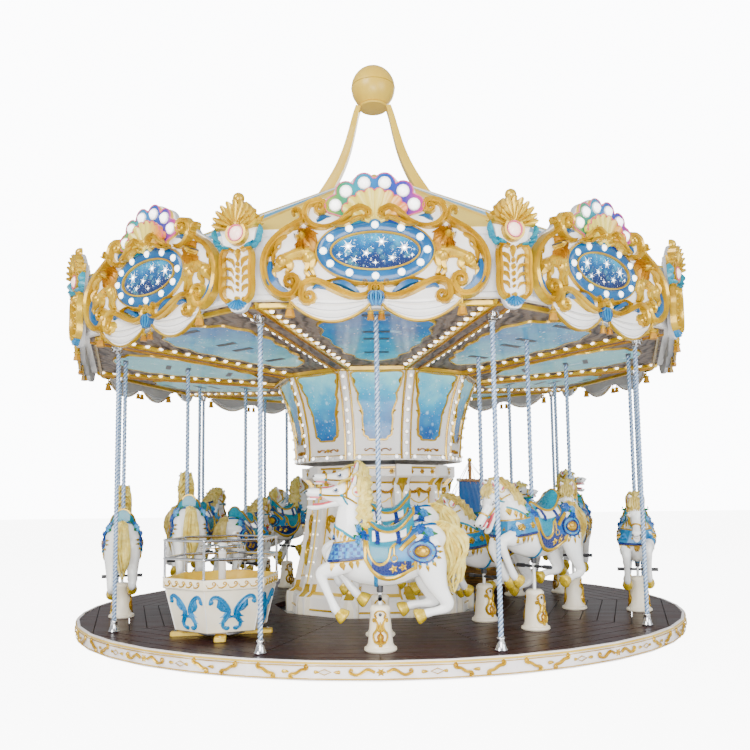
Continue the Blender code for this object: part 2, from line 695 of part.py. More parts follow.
BEAM_TOP = ground_frame()
centre_housing(BEAM_TOP)
centre_mast()
deck_sections()
skirt()
roof()
crown_frame()
crown_panels()
ceiling()
neck()
tie_rods()
finial()
horses()
tub()
tub_base()
ship_hull()
ship_rig()
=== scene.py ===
"""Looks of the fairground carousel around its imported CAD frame."""

import math
import random

import bmesh
import bpy
import numpy as np
from mathutils import Euler, Matrix, Vector
from mathutils.bvhtree import BVHTree


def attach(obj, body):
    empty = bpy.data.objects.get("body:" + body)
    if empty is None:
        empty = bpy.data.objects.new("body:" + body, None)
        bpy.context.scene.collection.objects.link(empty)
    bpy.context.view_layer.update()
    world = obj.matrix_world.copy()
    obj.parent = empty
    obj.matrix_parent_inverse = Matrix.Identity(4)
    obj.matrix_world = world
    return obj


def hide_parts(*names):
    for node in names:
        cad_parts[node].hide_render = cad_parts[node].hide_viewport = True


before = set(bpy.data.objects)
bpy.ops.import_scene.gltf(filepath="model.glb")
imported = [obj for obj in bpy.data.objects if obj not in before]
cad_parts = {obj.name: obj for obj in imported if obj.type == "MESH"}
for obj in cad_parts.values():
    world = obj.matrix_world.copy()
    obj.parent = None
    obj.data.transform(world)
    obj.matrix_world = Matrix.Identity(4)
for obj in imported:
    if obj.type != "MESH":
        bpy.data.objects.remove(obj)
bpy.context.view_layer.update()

TAU = math.tau
BAYS = 10
BAY = TAU / BAYS
HALF = BAY / 2
COS, SIN, TAN = math.cos(HALF), math.sin(HALF), math.tan(HALF)
DECK_TOP = 0.15
DECK_LOW = 0.09
PLATFORM = 3.30
DECK_RADIUS = 3.275
DECK_HOLE = 1.16
CROWN = 3.41
PANEL_BACK = 3.2434
PANEL_FACE = PANEL_BACK + 0.05
SHIELD_FACE = CROWN + 0.04
FASCIA = (2.905, 3.45)
NECK = ((0.975, 1.765), (0.965, 1.85), (0.985, 2.10), (1.05, 2.40), (1.13, 2.62), (1.1746, 2.73))
HOUSING = ((1.04, 0.0753), (1.04, 0.30), (0.96, 0.36), (0.86, 0.80), (0.79, 1.30), (0.78, 1.52),
           (0.86, 1.60), (0.86, 1.72))
HORSE_ROWS = {0: (2.86, 2.20), 1: (2.41, 1.75), 2: (2.86, 2.20), 3: (2.41, 1.75),
              5: (2.41, 1.75), 6: (2.86, 2.20), 7: (2.41, 1.75), 8: (2.86, 2.20)}
HIGH_LIFT = 0.14
TUB_BAY, TUB_RADIUS = 9, 2.45
SHIP_BAY, SHIP_RADIUS = 4, 2.20


def polar(radius, azimuth, z=0.0):
    return Vector((radius * math.sin(azimuth), -radius * math.cos(azimuth), z))


def ceiling_height(radius):
    return 2.73 + (radius - 1.175) / (3.35 - 1.175) * (2.905 - 2.73)


def roof_height(radius):
    return 3.4703 + 0.543 * (CROWN - radius)


def between(table, z):
    """Radius of a profile at a height."""
    for (r0, z0), (r1, z1) in zip(table, table[1:]):
        if z <= z1:
            return r0 + (r1 - r0) * max(0.0, (z - z0) / (z1 - z0))
    return table[-1][0]


# Paints

class Nodes:
    """Short way to write a node material."""

    def __init__(self, name):
        self.material = bpy.data.materials.new(name)
        self.material.use_nodes = True
        self.tree = self.material.node_tree
        self.shader = self.tree.nodes["Principled BSDF"]
        self.place = self.node("ShaderNodeTexCoord").outputs["Object"]

    def node(self, kind, inputs=None, **settings):
        made = self.tree.nodes.new(kind)
        for key, value in settings.items():
            setattr(made, key, value)
        for key, value in (inputs or {}).items():
            self.feed(made.inputs[key], value)
        return made

    def feed(self, socket, value):
        if hasattr(value, "is_output") or isinstance(value, bpy.types.NodeSocket):
            self.tree.links.new(value, socket)
        else:
            socket.default_value = value

    def noise(self, scale, detail=3.0, stretch=None, roughness=0.55):
        place = self.place
        if stretch:
            place = self.node("ShaderNodeMapping", {"Vector": place, "Scale": stretch}).outputs[0]
        return self.node("ShaderNodeTexNoise", {"Vector": place, "Scale": scale, "Detail": detail,
                                                "Roughness": roughness}).outputs["Fac"]

    def math(self, operation, a, b=0.0):
        made = self.node("ShaderNodeMath", operation=operation)
        self.feed(made.inputs[0], a)
        self.feed(made.inputs[1], b)
        return made.outputs[0]

    def ramp(self, value, *stops):
        made = self.node("ShaderNodeValToRGB", {"Fac": value})
        ramp = made.color_ramp
        while len(ramp.elements) < len(stops):
            ramp.elements.new(0.5)
        for element, (at, colour) in zip(ramp.elements, stops):
            element.position = at
            element.color = (*colour, 1.0) if len(colour) == 3 else colour
        return made.outputs["Color"]

    def mix(self, factor, a, b, blend="MIX"):
        made = self.node("ShaderNodeMix", data_type="RGBA", blend_type=blend)
        self.feed(made.inputs["Factor"], factor)
        for socket, value in (("A", a), ("B", b)):
            colours = [s for s in made.inputs if s.name == socket and s.type == "RGBA"]
            self.feed(colours[0], (*value, 1.0) if isinstance(value, tuple) else value)
        return [s for s in made.outputs if s.type == "RGBA"][0]

    def bump(self, height, strength, distance=0.01):
        made = self.node("ShaderNodeBump", {"Height": height, "Strength": strength, "Distance": distance})
        self.feed(self.shader.inputs["Normal"], made.outputs[0])

    def finish(self, colour, rough, metal=0.0, coat=0.0):
        self.feed(self.shader.inputs["Base Color"], colour)
        self.feed(self.shader.inputs["Roughness"], rough)
        self.shader.inputs["Metallic"].default_value = metal
        self.shader.inputs["Coat Weight"].default_value = coat
        return self.material


def lacquer(name, light, dark, rough=0.3, metal=0.0, scale=6.0, bump=0.12, grain=60.0, coat=0.0,
            hollow_shade=None, glow=0.0):
    """Painted moulding: two shades in soft clouds, a brushed skin, and painted shade that darkens the colour in the
    hollows.
    """
    n = Nodes(name)
    clouds = n.ramp(n.noise(scale), (0.32, dark), (0.68, light))
    # Painted shade: where Pointiness finds a hollow, the colour turns to the given dark hollow colour.
    if hollow_shade:
        hollow = n.ramp(n.node("ShaderNodeNewGeometry").outputs["Pointiness"],
                        (0.40, (0.0, 0.0, 0.0)), (0.47, (1.0, 1.0, 1.0)))
        clouds = n.mix(hollow, hollow_shade, clouds)
    fine = n.noise(grain, 2.0)
    n.bump(fine, bump, 0.004)
    spread = n.math("MULTIPLY_ADD", fine, 0.22)
    spread.node.inputs[2].default_value = rough - 0.11
    if glow:
        n.shader.inputs["Emission Color"].default_value = (*light, 1.0)
        n.shader.inputs["Emission Strength"].default_value = glow
    return n.finish(clouds, spread, metal, coat)


def axis_share(n, axis, low, high):
    """0 to 1 along one object axis."""
    parts = n.node("ShaderNodeSeparateXYZ", {"Vector": n.place})
    made = n.node("ShaderNodeMapRange", {"Value": parts.outputs[axis], "From Min": low, "From Max": high})
    return made.outputs[0]


def rainbow(name, low, high, stops, rough=0.28):
    """Lacquer whose colour runs along X, as on the lit shells."""
    n = Nodes(name)
    share = n.math("ADD", axis_share(n, 0, low, high), n.math("MULTIPLY", n.noise(9.0), 0.06))
    colour = n.ramp(share, *stops)
    colour = n.mix(0.25, colour, n.ramp(n.noise(30.0), (0.3, (0.75, 0.75, 0.75)), (0.7, (1.0, 1.0, 1.0))),
                   "MULTIPLY")
    n.bump(n.noise(45.0), 0.1, 0.004)
    return n.finish(colour, rough, 0.0, 0.4)


def sparkle(name, stops, axis, low, high, spots=26.0, glow=0.25, cloud=3.0):
    """Picture panel: a blue gradient under clouds, with soft round lights and fine white sparks; the whole picture also
    glows with its own colour, a painted glow though it is no lamp.
    """
    n = Nodes(name)
    share = n.math("ADD", axis_share(n, axis, low, high),
                   n.math("MULTIPLY", n.math("SUBTRACT", n.noise(cloud, 4.0), 0.5), 0.9))
    colour = n.ramp(share, *stops)
    for scale, size, strength, tint in ((spots * 0.30, 0.42, 0.35, (0.12, 0.62, 0.66)),
                                        (spots * 0.55, 0.26, 0.80, (0.50, 0.85, 1.0)),
                                        (spots * 1.0, 0.16, 1.0, (1.0, 1.0, 1.0)),
                                        (spots * 2.4, 0.20, 1.0, (1.0, 1.0, 1.0))):
        cells = n.node("ShaderNodeTexVoronoi", {"Vector": n.place, "Scale": scale}).outputs["Distance"]
        light = n.ramp(cells, (0.0, (strength,) * 3), (size, (0.0, 0.0, 0.0)))
        sparse = n.ramp(n.noise(scale * 0.45), (0.44, (0.0, 0.0, 0.0)), (0.56, (1.0, 1.0, 1.0)))
        colour = n.mix(n.mix(1.0, light, sparse, "MULTIPLY"), colour, tint)
    n.bump(n.noise(120.0), 0.05, 0.002)
    # Painted glow: the picture emits its own colour.
    n.feed(n.shader.inputs["Emission Color"], colour)
    n.shader.inputs["Emission Strength"].default_value = glow
    return n.finish(colour, 0.22, 0.0, 0.3)


def wood(name, light, dark, rough, stretch, scale=3.0, coat=0.0, ior=1.45):
    """Varnished boards with long grain."""
    n = Nodes(name)
    grain = n.noise(scale, 8.0, stretch, 0.65)
    broad = n.noise(1.4, 2.0)
    colour = n.ramp(n.math("ADD", n.math("MULTIPLY", grain, 0.75), n.math("MULTIPLY", broad, 0.25)),
                    (0.34, dark), (0.62, light))
    n.bump(grain, 0.14, 0.003)
    glossy = n.math("MULTIPLY_ADD", grain, 0.25)
    glossy.node.inputs[2].default_value = rough
    n.shader.inputs["IOR"].default_value = ior
    return n.finish(colour, glossy, 0.0, coat)


def carved(name, light, dark, scale=5.0, rough=0.55):
    """Low leaf carving in grey-brown, as on the ceiling boards; its colour is painted shade in the low parts of the
    relief and lighter on the raised parts.
    """
    n = Nodes(name)
    warp = n.node("ShaderNodeTexVoronoi", {"Vector": n.place, "Scale": scale}, feature="SMOOTH_F1")
    lines = n.node("ShaderNodeTexWave", {"Vector": n.place, "Scale": scale * 0.55, "Distortion": 9.0,
                                         "Detail": 3.0, "Detail Scale": 1.6})
    height = n.math("ADD", warp.outputs["Distance"], n.math("MULTIPLY", lines.outputs["Fac"], 0.8))
    # Painted shade: darker where the relief is low, lighter where it is raised.
    colour = n.ramp(height, (0.25, dark), (0.95, light))
    n.bump(height, 0.7, 0.02)
    return n.finish(colour, rough)


def gores(name, even, odd):
    """Roof cloth painted in alternate colours from gore to gore."""
    n = Nodes(name)
    parts = n.node("ShaderNodeSeparateXYZ", {"Vector": n.place})
    turn = n.math("ARCTAN2", parts.outputs[0], n.math("MULTIPLY", parts.outputs[1], -1.0))
    index = n.math("FLOOR", n.math("ADD", n.math("DIVIDE", turn, BAY), 0.5))
    which = n.math("PINGPONG", index, 1.0)
    soft = n.ramp(n.noise(2.5, 4.0), (0.3, (0.93, 0.93, 0.93)), (0.7, (1.0, 1.0, 1.0)))
    colour = n.mix(1.0, n.mix(which, even, odd), soft, "MULTIPLY")
    n.bump(n.noise(160.0, 2.0), 0.12, 0.002)
    return n.finish(colour, 0.55)


def woven(name, light, dark, weave=260.0, rough=0.8):
    """Cloth with a fine crossed weave and a little sheen."""
    n = Nodes(name)
    across = n.node("ShaderNodeTexWave", {"Vector": n.place, "Scale": weave}, bands_direction="X")
    along = n.node("ShaderNodeTexWave", {"Vector": n.place, "Scale": weave}, bands_direction="Z")
    height = n.math("MULTIPLY", across.outputs["Fac"], along.outputs["Fac"])
    colour = n.ramp(n.noise(7.0, 4.0), (0.3, dark), (0.7, light))
    n.bump(height, 0.35, 0.002)
    n.shader.inputs["Sheen Weight"].default_value = 0.3
    return n.finish(colour, rough)


def planks(name, light, dark, seam):
    """Clinker planking: dark seams between strakes of brown-gold wood."""
    n = Nodes(name)
    height = n.node("ShaderNodeSeparateXYZ", {"Vector": n.place}).outputs[2]
    strake = n.math("FRACT", n.math("MULTIPLY", n.math("ADD", height, n.math("MULTIPLY", n.noise(2.0), 0.02)), 15.0))
    grain = n.noise(5.0, 6.0, (1.0, 7.0, 12.0), 0.6)
    boards = n.ramp(grain, (0.30, dark), (0.66, light))
    line = n.ramp(strake, (0.05, (1.0, 1.0, 1.0)), (0.12, (0.0, 0.0, 0.0)))
    n.bump(n.ramp(strake, (0.0, (0.0, 0.0, 0.0)), (0.14, (1.0, 1.0, 1.0))), 0.6, 0.008)
    return n.finish(n.mix(line, boards, seam), 0.42, 0.0, 0.1)


def checks(name, light, dark, line):
    """Blue checked saddle cloth with a dark line between squares."""
    n = Nodes(name)
    squares = n.node("ShaderNodeTexChecker", {"Vector": n.place, "Scale": 34.0, "Color1": (*light, 1.0),
                                              "Color2": (*dark, 1.0)})
    colour = n.mix(n.ramp(n.noise(25.0), (0.5, (0.0, 0.0, 0.0)), (0.75, (0.5, 0.5, 0.5))),
                   squares.outputs["Color"], line)
    n.bump(n.noise(180.0), 0.2, 0.002)
    return n.finish(colour, 0.4, 0.0, 0.2)


# Painted shade: the dark colours given below for the hollows darken each lacquer where its surface is hollow.
HOLLOW_SHADE = (0.10, 0.034, 0.003)
BLUE_SKY = ((0.0, (0.0, 0.07, 0.28)), (0.35, (0.0, 0.19, 0.46)), (0.62, (0.01, 0.36, 0.60)),
            (1.0, (0.24, 0.68, 0.74)))
CLOUD_BLUE = ((0.0, (0.0, 0.040, 0.20)), (0.35, (0.0, 0.12, 0.34)), (0.62, (0.0, 0.24, 0.42)),
              (1.0, (0.14, 0.54, 0.58)))
NIGHT_BLUE = ((0.0, (0.0, 0.003, 0.03)), (0.40, (0.0, 0.016, 0.09)), (0.75, (0.0, 0.085, 0.24)),
              (1.0, (0.0, 0.24, 0.44)))
PAINTS = {
    "gold": lambda n: lacquer(n, (0.66, 0.43, 0.022), (0.42, 0.228, 0.003), 0.20, 0.40, 5.0, 0.05, hollow_shade=HOLLOW_SHADE, coat=0.3),
    "gold_deep": lambda n: lacquer(n, (0.465, 0.219, 0.0048), (0.315, 0.113, 0.0012), 0.30, 0.3, 10.0, hollow_shade=HOLLOW_SHADE),
    "gold_pale": lambda n: lacquer(n, (0.765, 0.536, 0.071), (0.663, 0.402, 0.024), 0.32, 0.2, 4.0),
    "white": lambda n: lacquer(n, (0.95, 0.93, 0.90), (0.90, 0.87, 0.84), 0.30, coat=0.2,
                               hollow_shade=(0.55, 0.48, 0.40)),
    "cream": lambda n: lacquer(n, (0.95, 0.87, 0.70), (0.90, 0.79, 0.58), 0.34, coat=0.2,
                               hollow_shade=(0.50, 0.34, 0.16)),
    "cream_pink": lambda n: lacquer(n, (0.95, 0.92, 0.87), (0.91, 0.85, 0.79), 0.36, scale=3.0),
    "butter": lambda n: lacquer(n, (0.81, 0.554, 0.049), (0.704, 0.407, 0.014), 0.4, scale=5.0),
    "pearl": lambda n: lacquer(n, (0.96, 0.95, 0.92), (0.88, 0.89, 0.88), 0.2, scale=4.0, coat=0.6,
                               hollow_shade=(0.52, 0.54, 0.52)),
    "mane": lambda n: lacquer(n, (0.81, 0.686, 0.199), (0.594, 0.408, 0.046), 0.34, scale=22.0,
                              hollow_shade=(0.216, 0.102, 0.0061)),
    "mane_olive": lambda n: lacquer(n, (0.699, 0.552, 0.166), (0.46, 0.313, 0.041), 0.38, scale=22.0,
                                    hollow_shade=(0.147, 0.083, 0.0083)),
    "hoof": lambda n: lacquer(n, (0.663, 0.482, 0.025), (0.476, 0.303, 0.0068), 0.26, 0.2, 20.0, coat=0.3),
    "skin": lambda n: lacquer(n, (0.672, 0.088, 0.12), (0.528, 0.04, 0.064), 0.3, coat=0.3),
    "eye": lambda n: lacquer(n, (0.02, 0.05, 0.12), (0.01, 0.01, 0.02), 0.1, coat=1.0),
    "blue": lambda n: lacquer(n, (0.0, 0.101, 0.274), (0.0, 0.065, 0.202), 0.22, scale=5.0, coat=0.25),
    "blue_light": lambda n: lacquer(n, (0.0076, 0.213, 0.441), (0.0, 0.137, 0.35), 0.28, coat=0.12),
    "blue_deep": lambda n: lacquer(n, (0.0, 0.020, 0.17), (0.0, 0.008, 0.09), 0.28, coat=0.2),
    "turquoise": lambda n: lacquer(n, (0.0, 0.256, 0.352), (0.0, 0.152, 0.256), 0.28, scale=9.0, coat=0.2,
                                   hollow_shade=(0.0, 0.048, 0.144)),
    "green": lambda n: lacquer(n, (0.0032, 0.16, 0.02), (0.0, 0.072, 0.0096), 0.35, scale=14.0),
    "rose": lambda n: lacquer(n, (0.0, 0.096, 0.368), (0.0, 0.028, 0.208), 0.3, scale=18.0,
                              hollow_shade=(0.0, 0.0064, 0.08)),
    "flower": lambda n: lacquer(n, (0.064, 0.32, 0.592), (0.008, 0.144, 0.416), 0.32, scale=18.0,
                                hollow_shade=(0.0, 0.032, 0.192)),
    "pink": lambda n: lacquer(n, (0.672, 0.128, 0.24), (0.56, 0.064, 0.16), 0.3),
    "orange": lambda n: lacquer(n, (0.50, 0.25, 0.0), (0.36, 0.14, 0.0), 0.5, scale=30.0),
    "bulb": lambda n: lacquer(n, (1.0, 0.99, 0.97), (0.97, 0.96, 0.94), 0.15, coat=0.6, glow=3.0),
    "blush": lambda n: lacquer(n, (1.0, 0.60, 0.52), (0.98, 0.84, 0.74), 0.2, scale=9.0, coat=0.6, glow=1.2),
    "socket": lambda n: lacquer(n, (0.05, 0.05, 0.06), (0.02, 0.02, 0.02), 0.35),
    "chrome": lambda n: lacquer(n, (0.78, 0.79, 0.81), (0.56, 0.57, 0.60), 0.16, 1.0, 12.0, 0.05),
    "steel": lambda n: lacquer(n, (0.50, 0.51, 0.53), (0.34, 0.34, 0.36), 0.42, 0.8, 8.0, 0.3),
    "grey": lambda n: lacquer(n, (0.50, 0.50, 0.50), (0.40, 0.40, 0.41), 0.55, scale=4.0),
    "rod_blue": lambda n: lacquer(n, (0.08, 0.17, 0.36), (0.04, 0.10, 0.26), 0.26, 0.1, 20.0, coat=0.2),
    "rod_white": lambda n: lacquer(n, (0.50, 0.62, 0.76), (0.34, 0.46, 0.64), 0.22, 0.2, 20.0, coat=0.3),
    "skirt": lambda n: lacquer(n, (0.93, 0.89, 0.87), (0.87, 0.81, 0.82), 0.36, scale=3.0, coat=0.2),
    "rope": lambda n: lacquer(n, (0.84, 0.42, 0.16), (0.62, 0.24, 0.07), 0.7, scale=60.0, bump=0.4),
    "finial": lambda n: lacquer(n, (0.80, 0.54, 0.055), (0.72, 0.45, 0.035), 0.34, 0.0, 3.0, coat=0.1),
    "lobes": lambda n: rainbow(n, -0.38, 0.38, (
        (0.0, (0.342, 0.359, 0.015)), (0.18, (0.023, 0.255, 0.076)), (0.34, (0.0, 0.239, 0.319)),
        (0.52, (0.0, 0.144, 0.395)), (0.66, (0.0, 0.056, 0.334)), (0.84, (0.038, 0.024, 0.319)), (0.97, (0.38, 0.024, 0.213)))),
    "shell": lambda n: rainbow(n, -0.36, 0.36, (
        (0.0, (0.403, 0.582, 0.045)), (0.26, (0.672, 0.547, 0.06)), (0.60, (0.773, 0.617, 0.106)),
        (0.82, (0.722, 0.212, 0.023)), (1.0, (0.672, 0.088, 0.06)))),
    "picture": lambda n: sparkle(n, NIGHT_BLUE, 2, 3.02, 3.42, 40.0, 0.35, 7.0),
    "neck_picture": lambda n: sparkle(n, BLUE_SKY, 2, 1.98, 2.72, 17.0, 0.30, 4.0),
    "cloud": lambda n: sparkle(n, CLOUD_BLUE, 1, -3.4, -1.0, 9.0, 0.30, 2.6),
    "boards": lambda n: wood(n, (0.032, 0.0085, 0.0075), (0.008, 0.0025, 0.0025), 0.20, (0.55, 3.2, 3.2), 3.0, 0.0, 1.14),
    "timber": lambda n: wood(n, (0.52, 0.27, 0.09), (0.26, 0.11, 0.03), 0.35, (1.0, 8.0, 8.0), 4.0, 0.1),
    "hull": lambda n: planks(n, (0.56, 0.32, 0.10), (0.24, 0.11, 0.03), (0.07, 0.03, 0.01)),
    "carving": lambda n: carved(n, (0.20, 0.150, 0.120), (0.045, 0.033, 0.028)),
    "roof_cloth": lambda n: gores(n, (0.80, 0.56, 0.065), (0.01, 0.28, 0.50)),
    "sail": lambda n: woven(n, (0.0, 0.125, 0.42), (0.0, 0.080, 0.32)),
    "blanket": lambda n: lacquer(n, (0.0, 0.087, 0.331), (0.0, 0.048, 0.23), 0.3, scale=8.0, bump=0.2, coat=0.15),
    "blanket_pale": lambda n: lacquer(n, (0.016, 0.234, 0.484), (0.0031, 0.164, 0.39), 0.32, bump=0.2, coat=0.15),
    "check": lambda n: checks(n, (0.0078, 0.234, 0.515), (0.0, 0.039, 0.234), (0.234, 0.515, 0.741)),
    "saddle": lambda n: lacquer(n, (0.0, 0.23, 0.306), (0.0, 0.153, 0.246), 0.24, scale=9.0, coat=0.3,
                                hollow_shade=(0.0, 0.043, 0.102)),
}


def painted(name):
    return bpy.data.materials.get(name) or PAINTS[name](name)


# Shapes

class Shape:
    """Points and faces with a paint each, gathered into one mesh."""

    def __init__(self, points=(), faces=(), paint=""):
        self.points = [tuple(p) for p in points]
        self.faces = [tuple(f) for f in faces]
        self.paints = [paint] * len(self.faces)

    def add(self, *others):
        for other in others:
            first = len(self.points)
            self.points.extend(other.points)
            self.faces.extend(tuple(first + i for i in f) for f in other.faces)
            self.paints.extend(other.paints)
        return self

    def mapped(self, place):
        """A copy with every point moved by a function of (x, y, z)."""
        made = Shape()
        made.points = [tuple(place(*p)) for p in self.points]
        made.faces, made.paints = list(self.faces), list(self.paints)
        return made

    def moved(self, x=0.0, y=0.0, z=0.0, turn=0.0, size=1.0):
        c, s = math.cos(turn) * size, math.sin(turn) * size
        return self.mapped(lambda a, b, h: (x + a * c - b * s, y + a * s + b * c, z + h * size))

    def mirrored(self):
        made = self.mapped(lambda x, y, z: (-x, y, z))
        made.faces = [tuple(reversed(f)) for f in made.faces]
        return made

    def both(self):
        """The shape and its mirror image."""
        return Shape().add(self, self.mirrored())

    def mesh(self, name, sharp=40.0):
        made = bpy.data.meshes.new(name)
        made.from_pydata(self.points, [], self.faces)
        names = sorted(set(self.paints))
        for paint in names:
            made.materials.append(painted(paint))
        lookup = {paint: i for i, paint in enumerate(names)}
        made.polygons.foreach_set("material_index", [lookup[p] for p in self.paints])
        work = bmesh.new()
        work.from_mesh(made)
        bmesh.ops.recalc_face_normals(work, faces=work.faces)
        work.to_mesh(made)
        work.free()
        made.set_sharp_from_angle(angle=math.radians(sharp))
        return made


def grid(rows, paint, closed=False, caps=False):
    """Faces over rows of points of equal length; closed joins the ends of each row."""
    width = len(rows[0])
    points = [p for row in rows for p in row]
    faces = []
    for i in range(len(rows) - 1):
        for j in range(width if closed else width - 1):
            k = (j + 1) % width
            faces.append((i * width + j, i * width + k, (i + 1) * width + k, (i + 1) * width + j))
    if caps:
        faces.append(tuple(reversed(range(width))))
        faces.append(tuple(range((len(rows) - 1) * width, len(rows) * width)))
    return Shape(points, faces, paint)


def put(name, mesh, body="turntable", azimuth=0.0, location=(0, 0, 0), replaces=()):
    made = bpy.data.objects.new(name, mesh)
    bpy.context.scene.collection.objects.link(made)
    made.location = location
    made.rotation_euler = (0, 0, azimuth)
    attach(made, body)
    if replaces:
        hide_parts(*replaces)
    return made


def lathe(profile, paint, sides=16, flutes=0, depth=0.0, oval=1.0):
    """Turned shape about Z from (radius, height) pairs, with flutes round it if asked."""
    rows = []
    for radius, height in profile:
        row = []
        for k in range(sides):
            angle = TAU * k / sides
            r = radius * (1 - depth * (0.5 - 0.5 * math.cos(flutes * angle)))
            row.append((r * math.cos(angle), r * math.sin(angle) * oval, height))
        rows.append(row)
    return grid(rows, paint, True, True)


def ball(radius, paint, sides=12, rings=8, squash=1.0):
    angles = [math.pi * (i + 0.25) / (rings + 0.5) - math.pi / 2 for i in range(rings + 1)]
    return lathe([(radius * math.cos(a), radius * squash * math.sin(a)) for a in angles], paint, sides)


def frames_along(path):
    """Tangent, side and up at each point, carried along without twist."""
    path = [Vector(p) for p in path]
    tangents = [(path[min(i + 1, len(path) - 1)] - path[max(i - 1, 0)]).normalized()
                for i in range(len(path))]
    up = Vector((0, 0, 1)) if abs(tangents[0].z) < 0.9 else Vector((0, 1, 0))
    result = []
    for point, tangent in zip(path, tangents):
        up = (up - tangent * up.dot(tangent)).normalized()
        result.append((point, tangent, tangent.cross(up), up))
    return result


def rod(path, radii, paint, sides=8, flat=1.0, closed=False):
    """Round or flattened bar along a path in space."""
    radii = [radii] * len(path) if isinstance(radii, (int, float)) else radii
    rows = []
    for (point, _, side, up), r in zip(frames_along(path), radii):
        rows.append([tuple(point + side * (r * math.cos(TAU * k / sides))
                           + up * (r * flat * math.sin(TAU * k / sides))) for k in range(sides)])
    if closed:
        rows.append(rows[0])
    return grid(rows, paint, True, not closed)


def ring(radius, bar, paint, steps=16, sides=6):
    rows = []
    for i in range(steps + 1):
        a = TAU * i / steps
        rows.append([((radius + bar * math.cos(b)) * math.cos(a), (radius + bar * math.cos(b)) * math.sin(a),
                      bar * math.sin(b)) for b in (TAU * k / sides for k in range(sides))])
    return grid(rows, paint, True)


def twisted(low, high, radius, pitch=0.108, sides=9, step=0.0125):
    """Rope-turned rod of three strands, blue in the hollows."""
    count = max(2, int((high - low) / step))
    rows = []
    for i in range(count + 1):
        z = low + (high - low) * i / count
        turn = TAU * (z - low) / pitch
        row = []
        for k in range(sides):
            a = TAU * k / sides
            r = radius * (0.88 + 0.12 * math.cos(3 * a))
            row.append((r * math.cos(a + turn), r * math.sin(a + turn), z))
        rows.append(row)
    made = grid(rows, "rod_white", True, True)
    for i in range(count * sides):
        k = i % sides
        if k % 3 == 1:
            made.paints[i] = "rod_blue"
    return made


# Ornament in relief: x to the right, y up and z out of the surface

BEAD = ((-1, 0), (-0.6, 0.85), (0.6, 0.85), (1, 0))
CHANNEL = ((-1, 0), (-0.62, 1), (0, 0.5), (0.62, 1), (1, 0))
SQUARE = ((-1, 0), (-0.96, 1), (0.96, 1), (1, 0))


def spline(points, steps=5, closed=False):
    """Smooth curve through the points."""
    pts = [np.array(p, float) for p in points]
    count = len(pts)
    result = []
    spans = count if closed else count - 1
    for i in range(spans):
        if closed:
            a, b, c, d = (pts[(i + k - 1) % count] for k in range(4))
        else:
            b, c = pts[i], pts[i + 1]
            a = pts[i - 1] if i else 2 * b - c
            d = pts[i + 2] if i + 2 < count else 2 * c - b
        for s in range(steps):
            t = s / steps
            result.append(0.5 * (2 * b + (c - a) * t + (2 * a - 5 * b + 4 * c - d) * t * t
                                 + (3 * b - a - 3 * c + d) * t ** 3))
    if not closed:
        result.append(pts[-1])
    return [tuple(p) for p in result]


def band(path, widths, lift, paint, section=BEAD, base=0.0, closed=False):
    """Moulded strip along a flat path."""
    path = np.array(path, float)[:, :2]
    if closed:
        run = np.roll(path, -1, 0) - np.roll(path, 1, 0)
    else:
        run = np.gradient(path, axis=0)
    run /= np.linalg.norm(run, axis=1)[:, None] + 1e-12
    side = np.stack([run[:, 1], -run[:, 0]], 1)
    widths = np.broadcast_to(np.array(widths, float), (len(path),))
    lifts = lift * (widths / widths.max()) ** 0.6
    rows = [[(x + sx * a * w, y + sy * a * w, base + h * k) for a, h in section]
            for (x, y), (sx, sy), w, k in zip(path, side, widths, lifts)]
    if closed:
        rows.append(rows[0])
    return grid(rows, paint, False, not closed)


def spiral(start, heading, hand, radius, turns):
    """Points that wind inwards from a point and a heading."""
    x, y = start
    points = []
    steps = max(5, round(turns * 10))
    step = turns * TAU / steps
    for i in range(steps):
        r = radius * (1 - 0.74 * (i + 0.5) / steps)
        heading += hand * step / 2
        x += math.cos(heading) * r * step
        y += math.sin(heading) * r * step
        heading += hand * step / 2
        points.append((x, y))
    return points


def scroll(stem, width, paint="gold", lift=0.035, curls=(None, None), section=CHANNEL, base=0.0, steps=4,
           taper=(1.0, 1.0)):
    """Scroll through the stem's points. A curl is (hand, radius, turns), and hand +1 winds anticlockwise."""
    path = spline(stem, steps)
    widths = list(np.interp(np.linspace(0, 1, len(path)), (0, 0.5, 1), (taper[0], 1.0, taper[1])) * width)
    eyes = Shape()
    for end, curl in enumerate(curls):
        if not curl:
            continue
        hand, radius, turns = curl
        a, b = (path[0], path[1]) if end == 0 else (path[-1], path[-2])
        wound = spiral(a, math.atan2(a[1] - b[1], a[0] - b[0]), hand, radius, turns)
        shrunk = list(np.linspace(0.92, 0.45, len(wound)) * widths[0 if end == 0 else -1])
        eyes.add(dome(wound[-1], shrunk[-1] * 1.35, lift * 1.1, paint, base))
        if end == 0:
            path = wound[::-1] + path
            widths = shrunk[::-1] + widths
        else:
            path = path + wound
            widths = widths + shrunk
    return band(path, widths, lift, paint, section, base).add(eyes)


def dome(centre, radius, height, paint, base=0.0, sides=7, rings=2, oval=1.0):
    """Low round boss."""
    rows = []
    for i in range(rings + 1):
        a = math.pi / 2 * i / (rings + 0.35)
        rows.append([(centre[0] + radius * math.cos(a) * math.cos(TAU * k / sides),
                      centre[1] + radius * oval * math.cos(a) * math.sin(TAU * k / sides),
                      base + height * math.sin(a)) for k in range(sides)])
    made = grid(rows, paint, True)
    made.faces.append(tuple(range(rings * sides, (rings + 1) * sides)))
    made.paints.append(paint)
    return made


def bulb(centre, radius, base=0.0, socket="gold", sides=9):
    """Round lamp in a socket ring."""
    collar = grid([[(centre[0] + r * math.cos(TAU * k / sides), centre[1] + r * math.sin(TAU * k / sides),
                     base + h) for k in range(sides)]
                   for r, h in ((radius * 1.28, 0.0), (radius * 1.2, radius * 0.3), (radius, radius * 0.3))],
                  socket, True)
    return collar.add(dome(centre, radius, radius * 0.85, "bulb", base + radius * 0.2, sides, 3))


